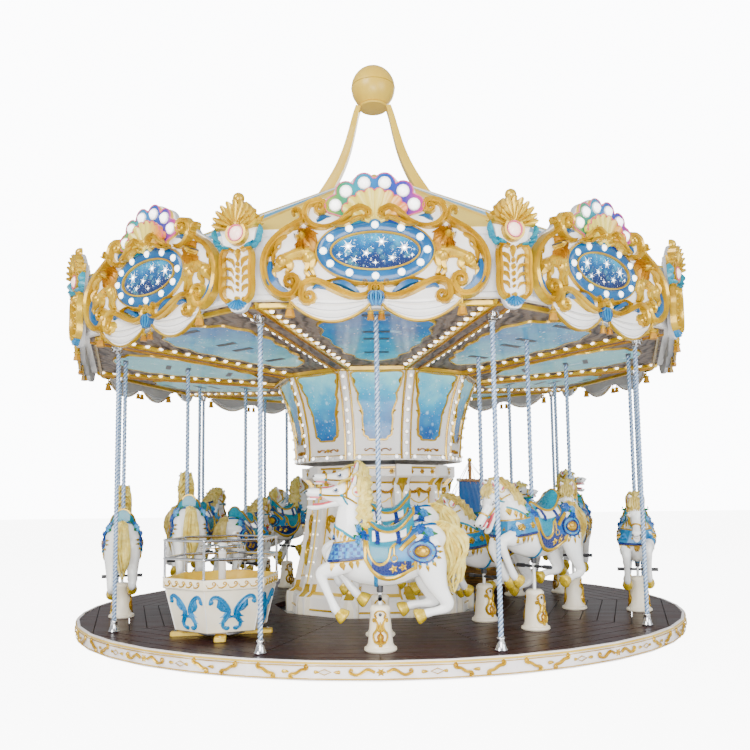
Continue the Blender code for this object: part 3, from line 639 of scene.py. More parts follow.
def leaf(root, tip, width, paint="gold", lift=0.03, base=0.0, lobes=3, bend=0.0):
    """Lobed leaf with a raised midrib from its root to its tip."""
    rows = []
    steps = lobes * 2 + 1
    rx, ry = root
    dx, dy = tip[0] - rx, tip[1] - ry
    length = math.hypot(dx, dy)
    dx, dy = dx / length, dy / length
    section = ((-1, 0.0), (0, 1.0), (1, 0.0)) if lobes == 1 else ((-1, 0.0), (-0.7, 0.6), (0, 1.0), (0.7, 0.6), (1, 0.0))
    for i in range(steps + 1):
        u = i / steps
        w = width * (math.sin(math.pi * (0.12 + 0.88 * u) ** 0.75) * 0.85 + 0.04)
        w *= 0.72 + 0.28 * abs(math.sin(math.pi * lobes * u + 0.4))
        sag = bend * math.sin(math.pi * u) * length
        h = lift * (0.35 + 0.65 * math.sin(math.pi * min(1.0, u * 1.1)))
        row = []
        for v, k in section:
            row.append((rx + dx * u * length + dy * (w * v + sag), ry + dy * u * length - dx * (w * v + sag),
                        base + h * k))
        rows.append(row)
    return grid(rows, paint, False, True)


def fan(centre, inner, outer, first, last, ribs, lift, paint, base=0.0, scallop=0.08, tall=0.0, dish=0.0):
    """Ribbed shell, its angles clockwise from straight up."""
    rows = []
    steps = ribs * 4
    for i in range(steps + 1):
        t = i / steps
        angle = first + (last - first) * t
        ridge = abs(math.sin(math.pi * ribs * t)) ** 0.7
        reach = outer * (1 + tall * math.cos(angle)) * (1 - scallop * (1 - ridge))
        row = []
        for r, h in ((inner, 0.0), (inner, 0.55), (inner + (reach - inner) * 0.35, 0.6),
                     (inner + (reach - inner) * 0.7, 0.8), (reach * 0.985, 1.0), (reach, 0.0)):
            height = base + lift * h * (0.5 + 0.5 * ridge) + dish * (r / outer) ** 2
            if h == 0.0:
                height = base
            row.append((centre[0] + r * math.sin(angle), centre[1] + r * math.cos(angle), height))
        rows.append(row)
    return grid(rows, paint, True, True)


def plate(outline, back, front, paint, edge=None, bevel=0.004):
    """Flat board with the outline's shape, its arris eased."""
    outline = [tuple(p[:2]) for p in outline]
    area = sum(a[0] * b[1] - b[0] * a[1] for a, b in zip(outline, outline[1:] + outline[:1]))
    if area < 0:
        outline.reverse()
    pts = np.array(outline)
    run = np.roll(pts, -1, 0) - np.roll(pts, 1, 0)
    run /= np.linalg.norm(run, axis=1)[:, None] + 1e-12
    inner = pts - np.stack([run[:, 1], -run[:, 0]], 1) * bevel
    rows = [[(x, y, back) for x, y in pts], [(x, y, front - bevel) for x, y in pts],
            [(x, y, front) for x, y in inner]]
    made = grid(rows, edge or paint, True)
    count = len(pts)
    made.faces.append(tuple(reversed(range(count))))
    made.faces.append(tuple(range(2 * count, 3 * count)))
    made.paints += [edge or paint, paint]
    return made


def oval(a, b, steps=40, centre=(0.0, 0.0)):
    return [(centre[0] + a * math.cos(TAU * i / steps), centre[1] + b * math.sin(TAU * i / steps))
            for i in range(steps)]


def tassel(x, z, y, size, paint="gold", skirt="orange"):
    """Hanging tassel: cord, bell and fringe."""
    bell = lathe([(0.04, 1.0), (0.05, 0.62), (0.16, 0.60), (0.24, 0.50), (0.16, 0.42), (0.20, 0.38)],
                 paint, 8)
    fringe = lathe([(0.18, 0.39), (0.26, 0.02), (0.02, 0.0)], skirt, 12, 6, 0.18)
    return bell.add(fringe).mapped(lambda a, b, c: (x + a * size, z + c * size, y - b * size))


def on_panel(x, y, z):
    return x, -(PANEL_FACE + z), y


def on_shield(x, y, z):
    return x, -(SHIELD_FACE + z), y


def on_neck(x, y, z):
    """x is a share of the facet's half width, y the height."""
    r = between(NECK, y)
    return x * r * SIN, -(r * COS + z), y


def on_housing(x, y, z):
    r = between(HOUSING, y)
    return x * r * SIN, -(r * COS + z), y


def on_ceiling(x, y, z):
    """x is a share of the bay's half width, y the corner radius, z hangs down."""
    return x * y * SIN, -y * COS, ceiling_height(y) - z


def on_skirt(x, y, z):
    """x runs round the rim in metres, y is the height."""
    a = x / PLATFORM
    return (PLATFORM + z) * math.sin(a), -(PLATFORM + z) * math.cos(a), y


def round_the_bays(shape):
    made = Shape()
    for k in range(BAYS):
        made.add(shape.moved(turn=k * BAY))
    return made


# Camera, lights and floor

camera_data = bpy.data.cameras.new("camera")
camera_data.lens = 36.96
camera_data.sensor_width = 36.0
camera_data.shift_y = 0.0707
camera_data.clip_end = 200.0
camera = bpy.data.objects.new("camera", camera_data)
bpy.context.scene.collection.objects.link(camera)
camera.matrix_world = (Matrix.Translation((0.0, -9.115, 1.345))
                       @ Matrix.Rotation(math.radians(0.2), 4, "Z")
                       @ Matrix.Rotation(math.radians(95.32), 4, "X")
                       @ Matrix.Rotation(math.radians(-0.76), 4, "Z"))
bpy.context.scene.camera = camera

for name, place, target, energy, size, tint in (
        ("key", (-6.5, -9.0, 9.0), (0, 0, 2.2), 1350, 6.0, (1.0, 0.98, 0.95)),
        ("fill", (8.0, -8.0, 4.5), (0, 0, 1.8), 700, 6.0, (0.95, 0.98, 1.0)),
        ("low", (0.0, -9.5, 1.6), (0, 0, 1.6), 820, 5.0, (1.0, 1.0, 1.0)),
        ("back", (2.0, 9.0, 8.0), (0, 0, 3.0), 600, 6.0, (1.0, 1.0, 1.0))):
    lamp = bpy.data.lights.new(name, "AREA")
    lamp.energy = energy
    lamp.size = size
    lamp.color = tint
    holder = bpy.data.objects.new(name, lamp)
    bpy.context.scene.collection.objects.link(holder)
    holder.location = place
    holder.rotation_euler = (Vector(target) - Vector(place)).to_track_quat("-Z", "Y").to_euler()

world = bpy.data.worlds.new("studio")
bpy.context.scene.world = world
world.use_nodes = True
background = world.node_tree.nodes["Background"]
background.inputs["Color"].default_value = (0.97, 0.98, 1.0, 1.0)
seen = world.node_tree.nodes.new("ShaderNodeLightPath").outputs["Is Camera Ray"]
strength = world.node_tree.nodes.new("ShaderNodeMapRange")
strength.inputs["To Min"].default_value = 0.70
strength.inputs["To Max"].default_value = 12.0
world.node_tree.links.new(seen, strength.inputs["Value"])
world.node_tree.links.new(strength.outputs[0], background.inputs["Strength"])

floor_look = Nodes("floor")
floor_look.bump(floor_look.noise(3.0), 0.02)
floor_look.finish(floor_look.ramp(floor_look.noise(0.8), (0.3, (0.86, 0.86, 0.87)), (0.7, (0.90, 0.90, 0.90))),
                  0.6)
lift = floor_look.node("ShaderNodeMapRange", {
    "Value": floor_look.node("ShaderNodeLightPath").outputs["Is Camera Ray"], "To Max": 8.0})
floor_look.feed(floor_look.shader.inputs["Emission Strength"], lift.outputs[0])
floor_look.shader.inputs["Emission Color"].default_value = (1.0, 1.0, 1.0, 1.0)
floor = bpy.data.objects.new("studio_floor", bpy.data.meshes.new("studio_floor"))
floor.data.from_pydata([(-60, -60, 0), (60, -60, 0), (60, 60, 0), (-60, 60, 0)], [], [(0, 1, 2, 3)])
floor.data.materials.append(floor_look.material)
bpy.context.scene.collection.objects.link(floor)


def repaint(node, paint):
    """Gives a carried-over CAD node a finished paint."""
    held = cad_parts[node]
    held.data.materials.clear()
    held.data.materials.append(painted(paint))


# Ground frame, mast and other carried-over nodes

for node, paint in (("ground_frame", "steel"), ("centre_mast", "grey"), ("centre_housing", "cream_pink"),
                    ("ceiling", "carving"), ("neck", "cream_pink"), ("roof", "roof_cloth"),
                    ("platform_skirt", "skirt"), ("ship_mast", "timber")):
    repaint(node, paint)


# Deck boards and pedestals

def deck_bay():
    """Varnished boards of one bay, laid along its chord, with open seams."""
    made = Shape()
    edges = list(np.linspace(DECK_HOLE + 0.006, DECK_RADIUS * COS - 0.01, 13)) + [DECK_RADIUS]
    seam = 0.003
    for low, high in zip(edges, edges[1:]):
        low, high = low + seam, high - seam
        for part in range(2):
            outline = []
            last = high > edges[-2]
            for y in (low, high):
                reach = min(y * TAN, math.sqrt(max(DECK_RADIUS ** 2 - y * y, 0.0))) - seam
                if y == low:
                    outline += [(0.0 + seam / 2, -y), (reach, -y)]
            if last:
                corner = min(DECK_RADIUS * SIN, low * TAN + 1.0) - seam
                steps = 8
                for i in range(steps + 1):
                    x = corner * (1 - i / steps)
                    y = math.sqrt(DECK_RADIUS ** 2 - x * x) - 0.001
                    outline.append((max(x, seam / 2), -y))
            else:
                reach = high * TAN - seam
                outline += [(reach, -high), (seam / 2, -high)]
            board = plate(outline, DECK_LOW, DECK_TOP, "boards", bevel=0.003)
            made.add(board if part == 0 else board.mirrored())
    return made


def pedestal():
    """Moulded guide pedestal with an oval foot and a gilt cartouche."""
    body = lathe([(0.122, 0.0), (0.132, 0.012), (0.128, 0.030), (0.112, 0.038), (0.106, 0.052), (0.100, 0.060),
                  (0.088, 0.20), (0.077, 0.300), (0.082, 0.312), (0.082, 0.335), (0.072, 0.350),
                  (0.058, 0.360), (0.030, 0.360), (0.018, 0.348)], "cream", 20)
    gilt = Shape()
    gilt.add(scroll([(0.006, 0.070), (0.046, 0.085), (0.060, 0.135), (0.030, 0.175), (0.022, 0.215), (0.040, 0.250)],
                    0.0115, "gold", 0.011, ((1, 0.013, 0.7), (-1, 0.016, 0.8)), steps=3).both())
    gilt.add(scroll([(0.0, 0.150), (0.022, 0.125), (0.014, 0.095)], 0.0075, "gold_deep", 0.009,
                    (None, (1, 0.010, 0.7)), steps=3).both())
    gilt.add(scroll([(0.0, 0.322), (0.026, 0.316), (0.046, 0.296)], 0.0075, "gold", 0.009,
                    (None, (-1, 0.011, 0.7)), steps=3).both())
    gilt.add(leaf((0.026, 0.262), (0.058, 0.276), 0.010, "gold", 0.009, lobes=1, bend=-0.2),
             leaf((-0.026, 0.262), (-0.058, 0.276), 0.010, "gold", 0.009, lobes=1, bend=0.2))
    gilt.add(leaf((0.0, 0.080), (0.0, 0.155), 0.020, "gold", 0.012), leaf((0.0, 0.165), (0.0, 0.240), 0.017, "gold", 0.012),
             leaf((0.014, 0.160), (0.034, 0.232), 0.010, "gold", 0.009, lobes=1),
             leaf((-0.014, 0.160), (-0.034, 0.232), 0.010, "gold", 0.009, lobes=1))
    gilt.add(dome((0, 0.160), 0.010, 0.014, "gold_deep"), dome((0, 0.292), 0.014, 0.002, "socket", sides=10))
    wrapped = Shape()
    for side in (0.0, math.pi):
        def around(x, y, z):
            r = 0.104 - 0.090 * (y - 0.05) + z
            return r * math.sin(x / r), -r * math.cos(x / r), y
        wrapped.add(gilt.mapped(around).moved(turn=side))
    return body.add(wrapped)


bay_boards = deck_bay()
post = pedestal()
for number in range(5):
    section = Shape()
    for bay in (2 * number, 2 * number + 1):
        section.add(bay_boards.moved(turn=bay * BAY))
        for radius in HORSE_ROWS.get(bay, ()):
            x, y, _ = polar(radius, bay * BAY)
            section.add(post.moved(x, y, DECK_TOP, bay * BAY))
    put(f"deck_boards_{number + 1}", section.mesh("deck_boards"), replaces=[f"deck_section_{number + 1}"])


# Skirt ornament

def skirt_run():
    """Gilt motifs over one bay of the rim."""
    made = Shape()
    middle = 0.078
    single = scroll([(-0.055, 0.018), (-0.02, 0.012), (0.02, -0.012), (0.055, -0.018)], 0.0135, "gold", 0.014,
                    ((-1, 0.019, 0.8), (-1, 0.019, 0.8)))
    long_one = scroll([(0.045, 0.0), (0.10, 0.020), (0.17, -0.018), (0.22, -0.010)], 0.0125, "gold", 0.013,
                      (None, (1, 0.019, 0.8)))
    lozenge = band([(-0.05, 0.0), (0.0, 0.020), (0.05, 0.0), (0.0, -0.020)], 0.0045, 0.008, "gold",
                   closed=True)
    for x in (-0.88, 0.88):
        made.add(single.moved(x, middle) if x < 0 else single.mirrored().moved(x, middle))
    for x in (-0.42, 0.42):
        made.add(lozenge.moved(x, middle))
    for x in (-0.62, 0.62):
        made.add(single.mirrored().moved(x, middle) if x < 0 else single.moved(x, middle))
    made.add(long_one.both().moved(0, middle))
    for k in range(6):
        a = TAU * k / 6
        made.add(leaf((0, middle), (0.038 * math.cos(a), middle + 0.031 * math.sin(a)), 0.013, "gold", 0.012))
    made.add(dome((0, middle), 0.010, 0.014, "gold_deep"))
    for x in (-0.30, 0.30, -0.75, 0.75, -0.50, 0.50):
        tip = x * 1.18 if abs(x) < 0.4 else x * 0.92
        made.add(leaf((x, middle), (tip, middle), 0.017, "gold", 0.010, lobes=2))
    for k in range(2):
        made.add(dome((-1.02 + 0.03 * k, 0.136), 0.004, 0.005, "socket", sides=6))
    return made


trim = Shape()
steps = 120
for low, high, out, paint in ((0.134, 0.150, 0.007, "gold_pale"), (0.118, 0.126, 0.004, "gold"),
                              (0.022, 0.032, 0.004, "gold")):
    rows = []
    for i in range(steps + 1):
        a = TAU * i / steps
        rows.append([((PLATFORM + d) * math.sin(a), -(PLATFORM + d) * math.cos(a), z)
                     for d, z in ((-0.002, low), (out, low + 0.002), (out, high - 0.002), (-0.002, high))])
    trim.add(grid(rows, paint, True))
trim.add(round_the_bays(skirt_run().mapped(on_skirt)))
put("skirt_ornament", trim.mesh("skirt_ornament"))


# Tie rods

rod_shape = Shape().add(
    lathe([(0.050, 0.1503), (0.052, 0.158), (0.044, 0.172), (0.036, 0.20), (0.030, 0.235), (0.033, 0.245),
           (0.030, 0.255), (0.020, 0.262)], "chrome", 14),
    twisted(0.255, 2.80, 0.023),
    lathe([(0.024, 2.775), (0.034, 2.785), (0.030, 2.80), (0.042, 2.835), (0.044, 2.868), (0.034, 2.8775),
           (0.01, 2.8775)], "chrome", 14))
eyelet = ring(0.034, 0.007, "chrome", 12, 5).mapped(lambda x, y, z: (x, z - 0.055, y + 2.83))
rod_mesh = Shape().add(rod_shape, eyelet, rod([(0, -0.02, 2.83), (0, -0.055, 2.80)], 0.008, "chrome")
                       ).moved(0, -3.07).mesh("tie_rod")
for k in range(BAYS):
    put(f"twisted_tie_rod_{k + 1}", rod_mesh, azimuth=(k + 0.5) * BAY, replaces=[f"tie_rod_{k + 1}"])


# Crown panels

def lion():
    """Walking lion in low relief, about 0.4 m long: its chest at the origin, its face to the right."""
    made = Shape()
    trunk = spline([(-0.035, 0.012), (0.030, 0.012), (0.095, -0.006), (0.155, -0.040)], 4)
    made.add(band(trunk, np.interp(np.linspace(0, 1, len(trunk)), (0, 0.3, 0.65, 1), (0.060, 0.056, 0.038, 0.046)),
                  0.045, "gold", ((-1, 0), (-0.6, 0.8), (0, 1.15), (0.6, 0.8), (1, 0))))
    made.add(dome((0.158, -0.048), 0.048, 0.056, "gold", oval=1.15, sides=10),
             dome((-0.022, -0.020), 0.050, 0.056, "gold", oval=1.20, sides=10))
    for x in (0.035, 0.055, 0.075):
        made.add(leaf((x, 0.030), (x - 0.012, -0.035), 0.009, "gold", 0.052, lobes=1))
    for stem, widths, at in (
            ([(-0.045, 0.00), (-0.055, -0.060), (-0.045, -0.105), (-0.065, -0.150)], (0.030, 0.012), 0.010),
            ([(-0.005, -0.01), (-0.020, -0.075), (-0.005, -0.120), (-0.030, -0.160)], (0.028, 0.012), 0.0),
            ([(0.130, -0.035), (0.105, -0.085), (0.125, -0.125), (0.095, -0.165)], (0.034, 0.012), 0.0),
            ([(0.160, -0.040), (0.185, -0.090), (0.215, -0.120), (0.210, -0.160)], (0.036, 0.012), 0.010)):
        path = spline(stem, 4)
        made.add(band(path, np.interp(np.linspace(0, 1, len(path)), (0, 0.25, 0.6, 0.75, 1),
                                      (widths[0], widths[0] * 1.05, 0.017, 0.019, widths[1])), 0.036, "gold", base=at * 0.5))
        x, y = path[-1]
        for toe in (-0.014, 0.0, 0.014):
            made.add(dome((x + 0.008 + toe, y - 0.002), 0.011, 0.024, "gold", oval=0.8, sides=6))
    made.add(scroll([(0.170, -0.035), (0.215, -0.030), (0.220, 0.020), (0.175, 0.045), (0.165, 0.085)], 0.0065, "gold",
                    0.016, (None, (-1, 0.020, 0.5)), BEAD))
    made.add(leaf((0.170, 0.085), (0.225, 0.100), 0.015, "gold_deep", 0.022, lobes=1, bend=-0.2))
    # Mane: a base and three rows of curling locks round the face
    made.add(dome((-0.020, 0.080), 0.070, 0.040, "gold_deep", oval=1.55, sides=12))
    face = (0.020, 0.125)
    for row, (reach, width, lift) in enumerate(((1.0, 0.023, 0.050), (0.78, 0.020, 0.062), (0.55, 0.017, 0.074))):
        count = (13, 12, 9)[row]
        for k in range(count):
            a = math.radians(62 + 250 * (k + 0.5 * (row % 2)) / (count - 1))
            tall = 0.075 + 0.105 * max(0.0, -math.sin(a)) ** 1.2
            tip = (face[0] + reach * (0.085 + 0.02 * (k % 2)) * math.cos(a) - 0.012, face[1] + reach * tall * math.sin(a))
            root = (face[0] + 0.3 * (tip[0] - face[0]), face[1] + 0.3 * (tip[1] - face[1]))
            made.add(leaf(root, tip, width, "gold_deep", lift, lobes=1, bend=0.22 if k % 2 else -0.12))
    made.add(dome(face, 0.033, 0.090, "gold", oval=1.1, sides=9))
    made.add(dome((0.048, 0.112), 0.023, 0.096, "gold", oval=0.75), dome((0.044, 0.096), 0.017, 0.085, "gold", oval=0.7))
    made.add(dome((0.066, 0.119), 0.008, 0.098, "socket", sides=6), dome((0.034, 0.138), 0.0055, 0.096, "socket", sides=6))
    made.add(leaf((0.022, 0.150), (0.050, 0.146), 0.006, "gold_deep", 0.094, lobes=1))
    made.add(dome((0.002, 0.160), 0.013, 0.082, "gold", sides=6), dome((0.002, 0.160), 0.006, 0.086, "gold_deep", sides=6))
    return made


def burst(x, y, size, count, paint="bulb", lift=0.020):
    """Star of thin rays."""
    # Painted glow: by default the rays take the glowing lamp paint, though they are stars on a picture.
    made = Shape()
    for k in range(count):
        a = TAU * k / count
        reach = size * (1.0 if k % 2 == 0 else 0.55)
        c, s = math.cos(a), math.sin(a)
        made.add(Shape([(x + 0.08 * size * s, y - 0.08 * size * c, lift), (x + reach * c, y + reach * s, lift),
                        (x - 0.08 * size * s, y + 0.08 * size * c, lift)], [(0, 1, 2)], paint))
    return made


def scalloped(centre, lobes, radius, inner):
    """Outline round a row of lobes, drawn from a centre."""
    points = []
    for a in np.linspace(math.radians(-98), math.radians(98), 64):
        dx, dz = math.sin(a), math.cos(a)
        reach = inner
        for x, z in lobes:
            along = (x - centre[0]) * dx + (z - centre[1]) * dz
            off = (x - centre[0]) ** 2 + (z - centre[1]) ** 2 - along ** 2
            if off < radius ** 2:
                reach = max(reach, along + math.sqrt(radius ** 2 - off))
        points.append((centre[0] + dx * reach, centre[1] + dz * reach))
    return points + [(centre[0] + 0.12, centre[1] - 0.03), (centre[0] - 0.12, centre[1] - 0.03)]


def crown_panel():
    made = Shape()
    half = [(0.0, 2.815), (0.07, 2.81), (0.14, 2.80), (0.25, 2.775), (0.38, 2.765), (0.50, 2.79), (0.60, 2.85),
            (0.655, 2.90), (0.74, 2.915), (0.82, 2.97), (0.865, 3.06), (0.88, 3.17), (0.865, 3.28), (0.80, 3.385),
            (0.70, 3.48), (0.61, 3.54), (0.575, 3.60), (0.53, 3.655), (0.46, 3.675), (0.40, 3.655),
            (0.385, 3.69), (0.33, 3.715), (0.31, 3.765), (0.25, 3.815), (0.19, 3.825), (0.15, 3.865),
            (0.08, 3.88), (0.0, 3.85)]
    left = [(-x, z) for x, z in reversed(half[1:-1])]
    outline = spline(half + left, 3, True)
    made.add(plate(outline, -0.05, 0.0, "white", "grey", 0.006))

    # Oval picture in its blue ring of lamps
    centre = (0.0, 3.262)
    tube = ((-1, 0), (-0.75, 0.66), (-0.3, 0.95), (0.3, 0.95), (0.75, 0.66), (1, 0))
    made.add(band(oval(0.402, 0.202, 44, centre), 0.062, 0.036, "blue", closed=True, section=tube))
    made.add(band(oval(0.460, 0.254, 44, centre), 0.009, 0.030, "gold", closed=True))
    made.add(band(oval(0.345, 0.150, 44, centre), 0.011, 0.040, "gold", closed=True))
    made.add(plate(oval(0.345, 0.150, 44, centre), 0.0, 0.016, "picture", bevel=0.002))
    for x, z, size, count in ((-0.21, 3.30, 0.060, 12), (0.05, 3.335, 0.050, 12), (0.225, 3.285, 0.058, 12),
                              (-0.07, 3.245, 0.044, 10), (0.13, 3.205, 0.040, 10), (-0.16, 3.195, 0.034, 10),
                              (0.0, 3.17, 0.030, 8), (-0.28, 3.235, 0.026, 8), (0.285, 3.225, 0.022, 8)):
        made.add(burst(x, z, size, count))
    ripples = random.Random(3)
    for k in range(46):
        a, r = ripples.random() * TAU, math.sqrt(ripples.random()) * 0.93
        made.add(burst(0.335 * r * math.cos(a), centre[1] + 0.140 * r * math.sin(a), 0.006 + 0.006 * ripples.random(),
                       4, "bulb" if k % 3 else "flower", 0.0195))
    for k in range(12):
        a = TAU * k / 12
        made.add(bulb((0.402 * math.cos(a), 3.262 + 0.202 * math.sin(a)), 0.030, 0.028, "blue_light"))

    # Lit shell: a scalloped plate of lobes behind a ribbed fan
    lobes = [(side * x, z) for x, z in ((0.080, 3.800), (0.222, 3.735), (0.305, 3.625)) for side in (1, -1)]
    shell_at = (0.0, 3.50)
    outer = scalloped(shell_at, lobes, 0.081, 0.25)
    made.add(plate(outer, 0.0, 0.030, "lobes", "gold_pale", 0.005))
    made.add(band(outer[:-2], 0.0050, 0.008, "pink", base=0.030))
    for x, z in lobes:
        made.add(bulb((x, z), 0.041, 0.028, "pearl", 12))
    made.add(fan((0.0, 3.46), 0.05, 0.285, -1.20, 1.20, 8, 0.042, "shell", 0.034, 0.07, dish=0.010))
    rim = [(0.0 + 0.285 * (1 + 0.0 * math.cos(a)) * (1 - 0.07 * (1 - abs(math.sin(math.pi * 8 * (a + 1.20) / 2.40)) ** 0.7))
            * math.sin(a), 3.46 + 0.285 * (1 - 0.07 * (1 - abs(math.sin(math.pi * 8 * (a + 1.20) / 2.40)) ** 0.7))
            * math.cos(a)) for a in np.linspace(-1.20, 1.20, 49)]
    made.add(band(rim, 0.005, 0.012, "skin", base=0.070))

    side = Shape()
    # Leafy scroll under the shell, over its foot
    side.add(scroll([(0.335, 3.462), (0.26, 3.492), (0.185, 3.560), (0.115, 3.594), (0.050, 3.570)], 0.027, "gold",
                    0.052, (None, (1, 0.028, 0.85)), taper=(0.45, 0.9), base=0.052))
    side.add(scroll([(0.335, 3.462), (0.24, 3.462), (0.165, 3.500), (0.105, 3.520)], 0.020, "gold", 0.046,
                    (None, (1, 0.018, 0.7)), taper=(0.5, 0.9), base=0.046))
    side.add(leaf((0.27, 3.50), (0.125, 3.625), 0.024, "gold", 0.036, 0.070, bend=-0.12))
    side.add(leaf((0.20, 3.475), (0.035, 3.505), 0.022, "gold", 0.034, 0.060, bend=0.12))
    # Upper scroll with its blue inlay
    side.add(scroll([(0.325, 3.478), (0.405, 3.458), (0.490, 3.478), (0.543, 3.545), (0.522, 3.635),
                     (0.455, 3.664)], 0.033, "gold", 0.055, (None, (1, 0.056, 1.2)), taper=(0.5, 0.95)))
    side.add(leaf((0.44, 3.655), (0.365, 3.660), 0.022, "gold", 0.045, bend=0.25))
    side.add(leaf((0.455, 3.512), (0.340, 3.545), 0.030, "blue", 0.034, lobes=1, bend=0.16))
    # Hook and the long outer scroll
    side.add(scroll([(0.575, 3.575), (0.565, 3.525), (0.63, 3.475), (0.735, 3.405), (0.825, 3.300),
                     (0.865, 3.170), (0.835, 3.015), (0.745, 2.925), (0.655, 2.920), (0.605, 2.985)],
                    0.037, "gold", 0.062, ((-1, 0.042, 0.62), (-1, 0.064, 1.2)), taper=(0.7, 0.95)))
    side.add(leaf((0.59, 3.468), (0.745, 3.345), 0.030, "gold", 0.050, bend=-0.14))
    side.add(leaf((0.69, 3.400), (0.790, 3.245), 0.030, "gold", 0.052, bend=-0.14))
    side.add(leaf((0.765, 3.30), (0.785, 3.145), 0.026, "gold", 0.048, bend=-0.12))
    inlay = spline([(0.812, 3.190), (0.820, 3.080), (0.770, 2.992), (0.680, 2.948)], 4)
    side.add(band(inlay, np.interp(np.linspace(0, 1, len(inlay)), (0, 0.5, 1), (0.014, 0.056, 0.016)), 0.046, "blue",
                  base=0.006))
    # Lower scroll with two inlays
    side.add(scroll([(0.575, 2.925), (0.555, 3.005), (0.470, 3.030), (0.370, 2.995), (0.260, 2.940),
                     (0.150, 2.905), (0.060, 2.925), (0.045, 2.975)], 0.036, "gold", 0.058,
                    ((-1, 0.060, 1.2), (1, 0.030, 0.8)), taper=(0.95, 0.7)))
    side.add(scroll([(0.385, 3.028), (0.270, 3.042), (0.150, 2.998), (0.095, 2.990)], 0.014, "gold", 0.050,
                    (None, (-1, 0.026, 0.9)), taper=(0.5, 1.0)))
    inlay = spline([(0.330, 3.022), (0.240, 3.008), (0.160, 2.958), (0.125, 2.930)], 4)
    side.add(band(inlay, np.interp(np.linspace(0, 1, len(inlay)), (0, 0.35, 1), (0.010, 0.036, 0.008)), 0.044, "blue"))
    inlay = spline([(0.490, 2.972), (0.440, 2.996), (0.380, 2.978), (0.335, 2.960)], 4)
    side.add(band(inlay, np.interp(np.linspace(0, 1, len(inlay)), (0, 0.4, 1), (0.008, 0.024, 0.006)), 0.044, "blue"))
    side.add(leaf((0.36, 2.985), (0.455, 3.065), 0.020, "gold", 0.04, bend=0.2))
    # Swag, its pleats, grey lines painted as shade in the creases between them, and the gilt edge
    top, bottom = (2.905, 2.885), 0.135
    rows = []
    for i in range(11):
        u = i / 10
        x = 0.045 + 0.61 * u
        sag = math.sin(math.pi * u) ** 0.8
        upper = top[1] + (top[0] - top[1]) * u - 0.012 * sag
        row = []
        for j in range(13):
            v = j / 12
            fold = 0.5 + 0.5 * math.cos(TAU * 3 * v)
            y = upper - (0.035 + bottom * sag) * v
            row.append((x, y, 0.004 + 0.034 * sag * (0.25 + 0.75 * fold) * math.sin(math.pi * (0.08 + 0.84 * v))))
        rows.append(row)
    side.add(grid(rows, "white"))
    # Painted shade: thin grey lines in the creases between the pleats.
    for v in (1 / 6, 0.5, 5 / 6):
        seam = []
        for u in np.linspace(0.08, 0.92, 11):
            sag = math.sin(math.pi * u) ** 0.8
            seam.append((0.045 + 0.61 * u, top[1] + 0.02 * u - 0.012 * sag - (0.035 + bottom * sag) * v))
        side.add(band(seam, 0.0022, 0.008, "grey", base=0.009))
    side.add(band([(0.045 + 0.61 * u, top[1] + 0.02 * u - 0.035 - (bottom + 0.012) * math.sin(math.pi * u) ** 0.8)
                   for u in np.linspace(0, 1, 21)], 0.012, 0.026, "gold"))
    side.add(tassel(0.662, 2.745, 0.020, 0.155))
    side.add(tassel(0.042, 2.715, 0.022, 0.115, "gold", "gold_deep"))
    side.add(lion().moved(0.545, 3.245, 0.004, size=1.12))
    made.add(side.both())
    # Knot of pleated blue cloth
    for k in range(7):
        x = -0.045 + 0.015 * k
        h = 0.052 - 0.35 * abs(x)
        made.add(band([(x * 0.72, 2.940), (x * 1.25, 2.940 - h * 0.6), (x * 1.3, 2.880), (x * 0.7, 2.830)],
                      0.0105, 0.056, "blue_light" if k % 2 else "blue"))
    made.add(dome((0, 3.015), 0.016, 0.07, "gold"))
    # Ribs on the back
    for x in (-0.45, 0.45):
        made.add(plate([(x - 0.03, 2.92), (x + 0.03, 2.92), (x + 0.03, 3.55), (x - 0.03, 3.55)], -0.070, -0.050,
                       "steel"))
    return made


panel_mesh = crown_panel().mapped(on_panel).mesh("crown_panel")
for k in range(BAYS):
    put(f"gilded_crown_panel_{k + 1}", panel_mesh, azimuth=k * BAY, replaces=[f"crown_panel_{k + 1}"])


# Corner shields and the fascia behind

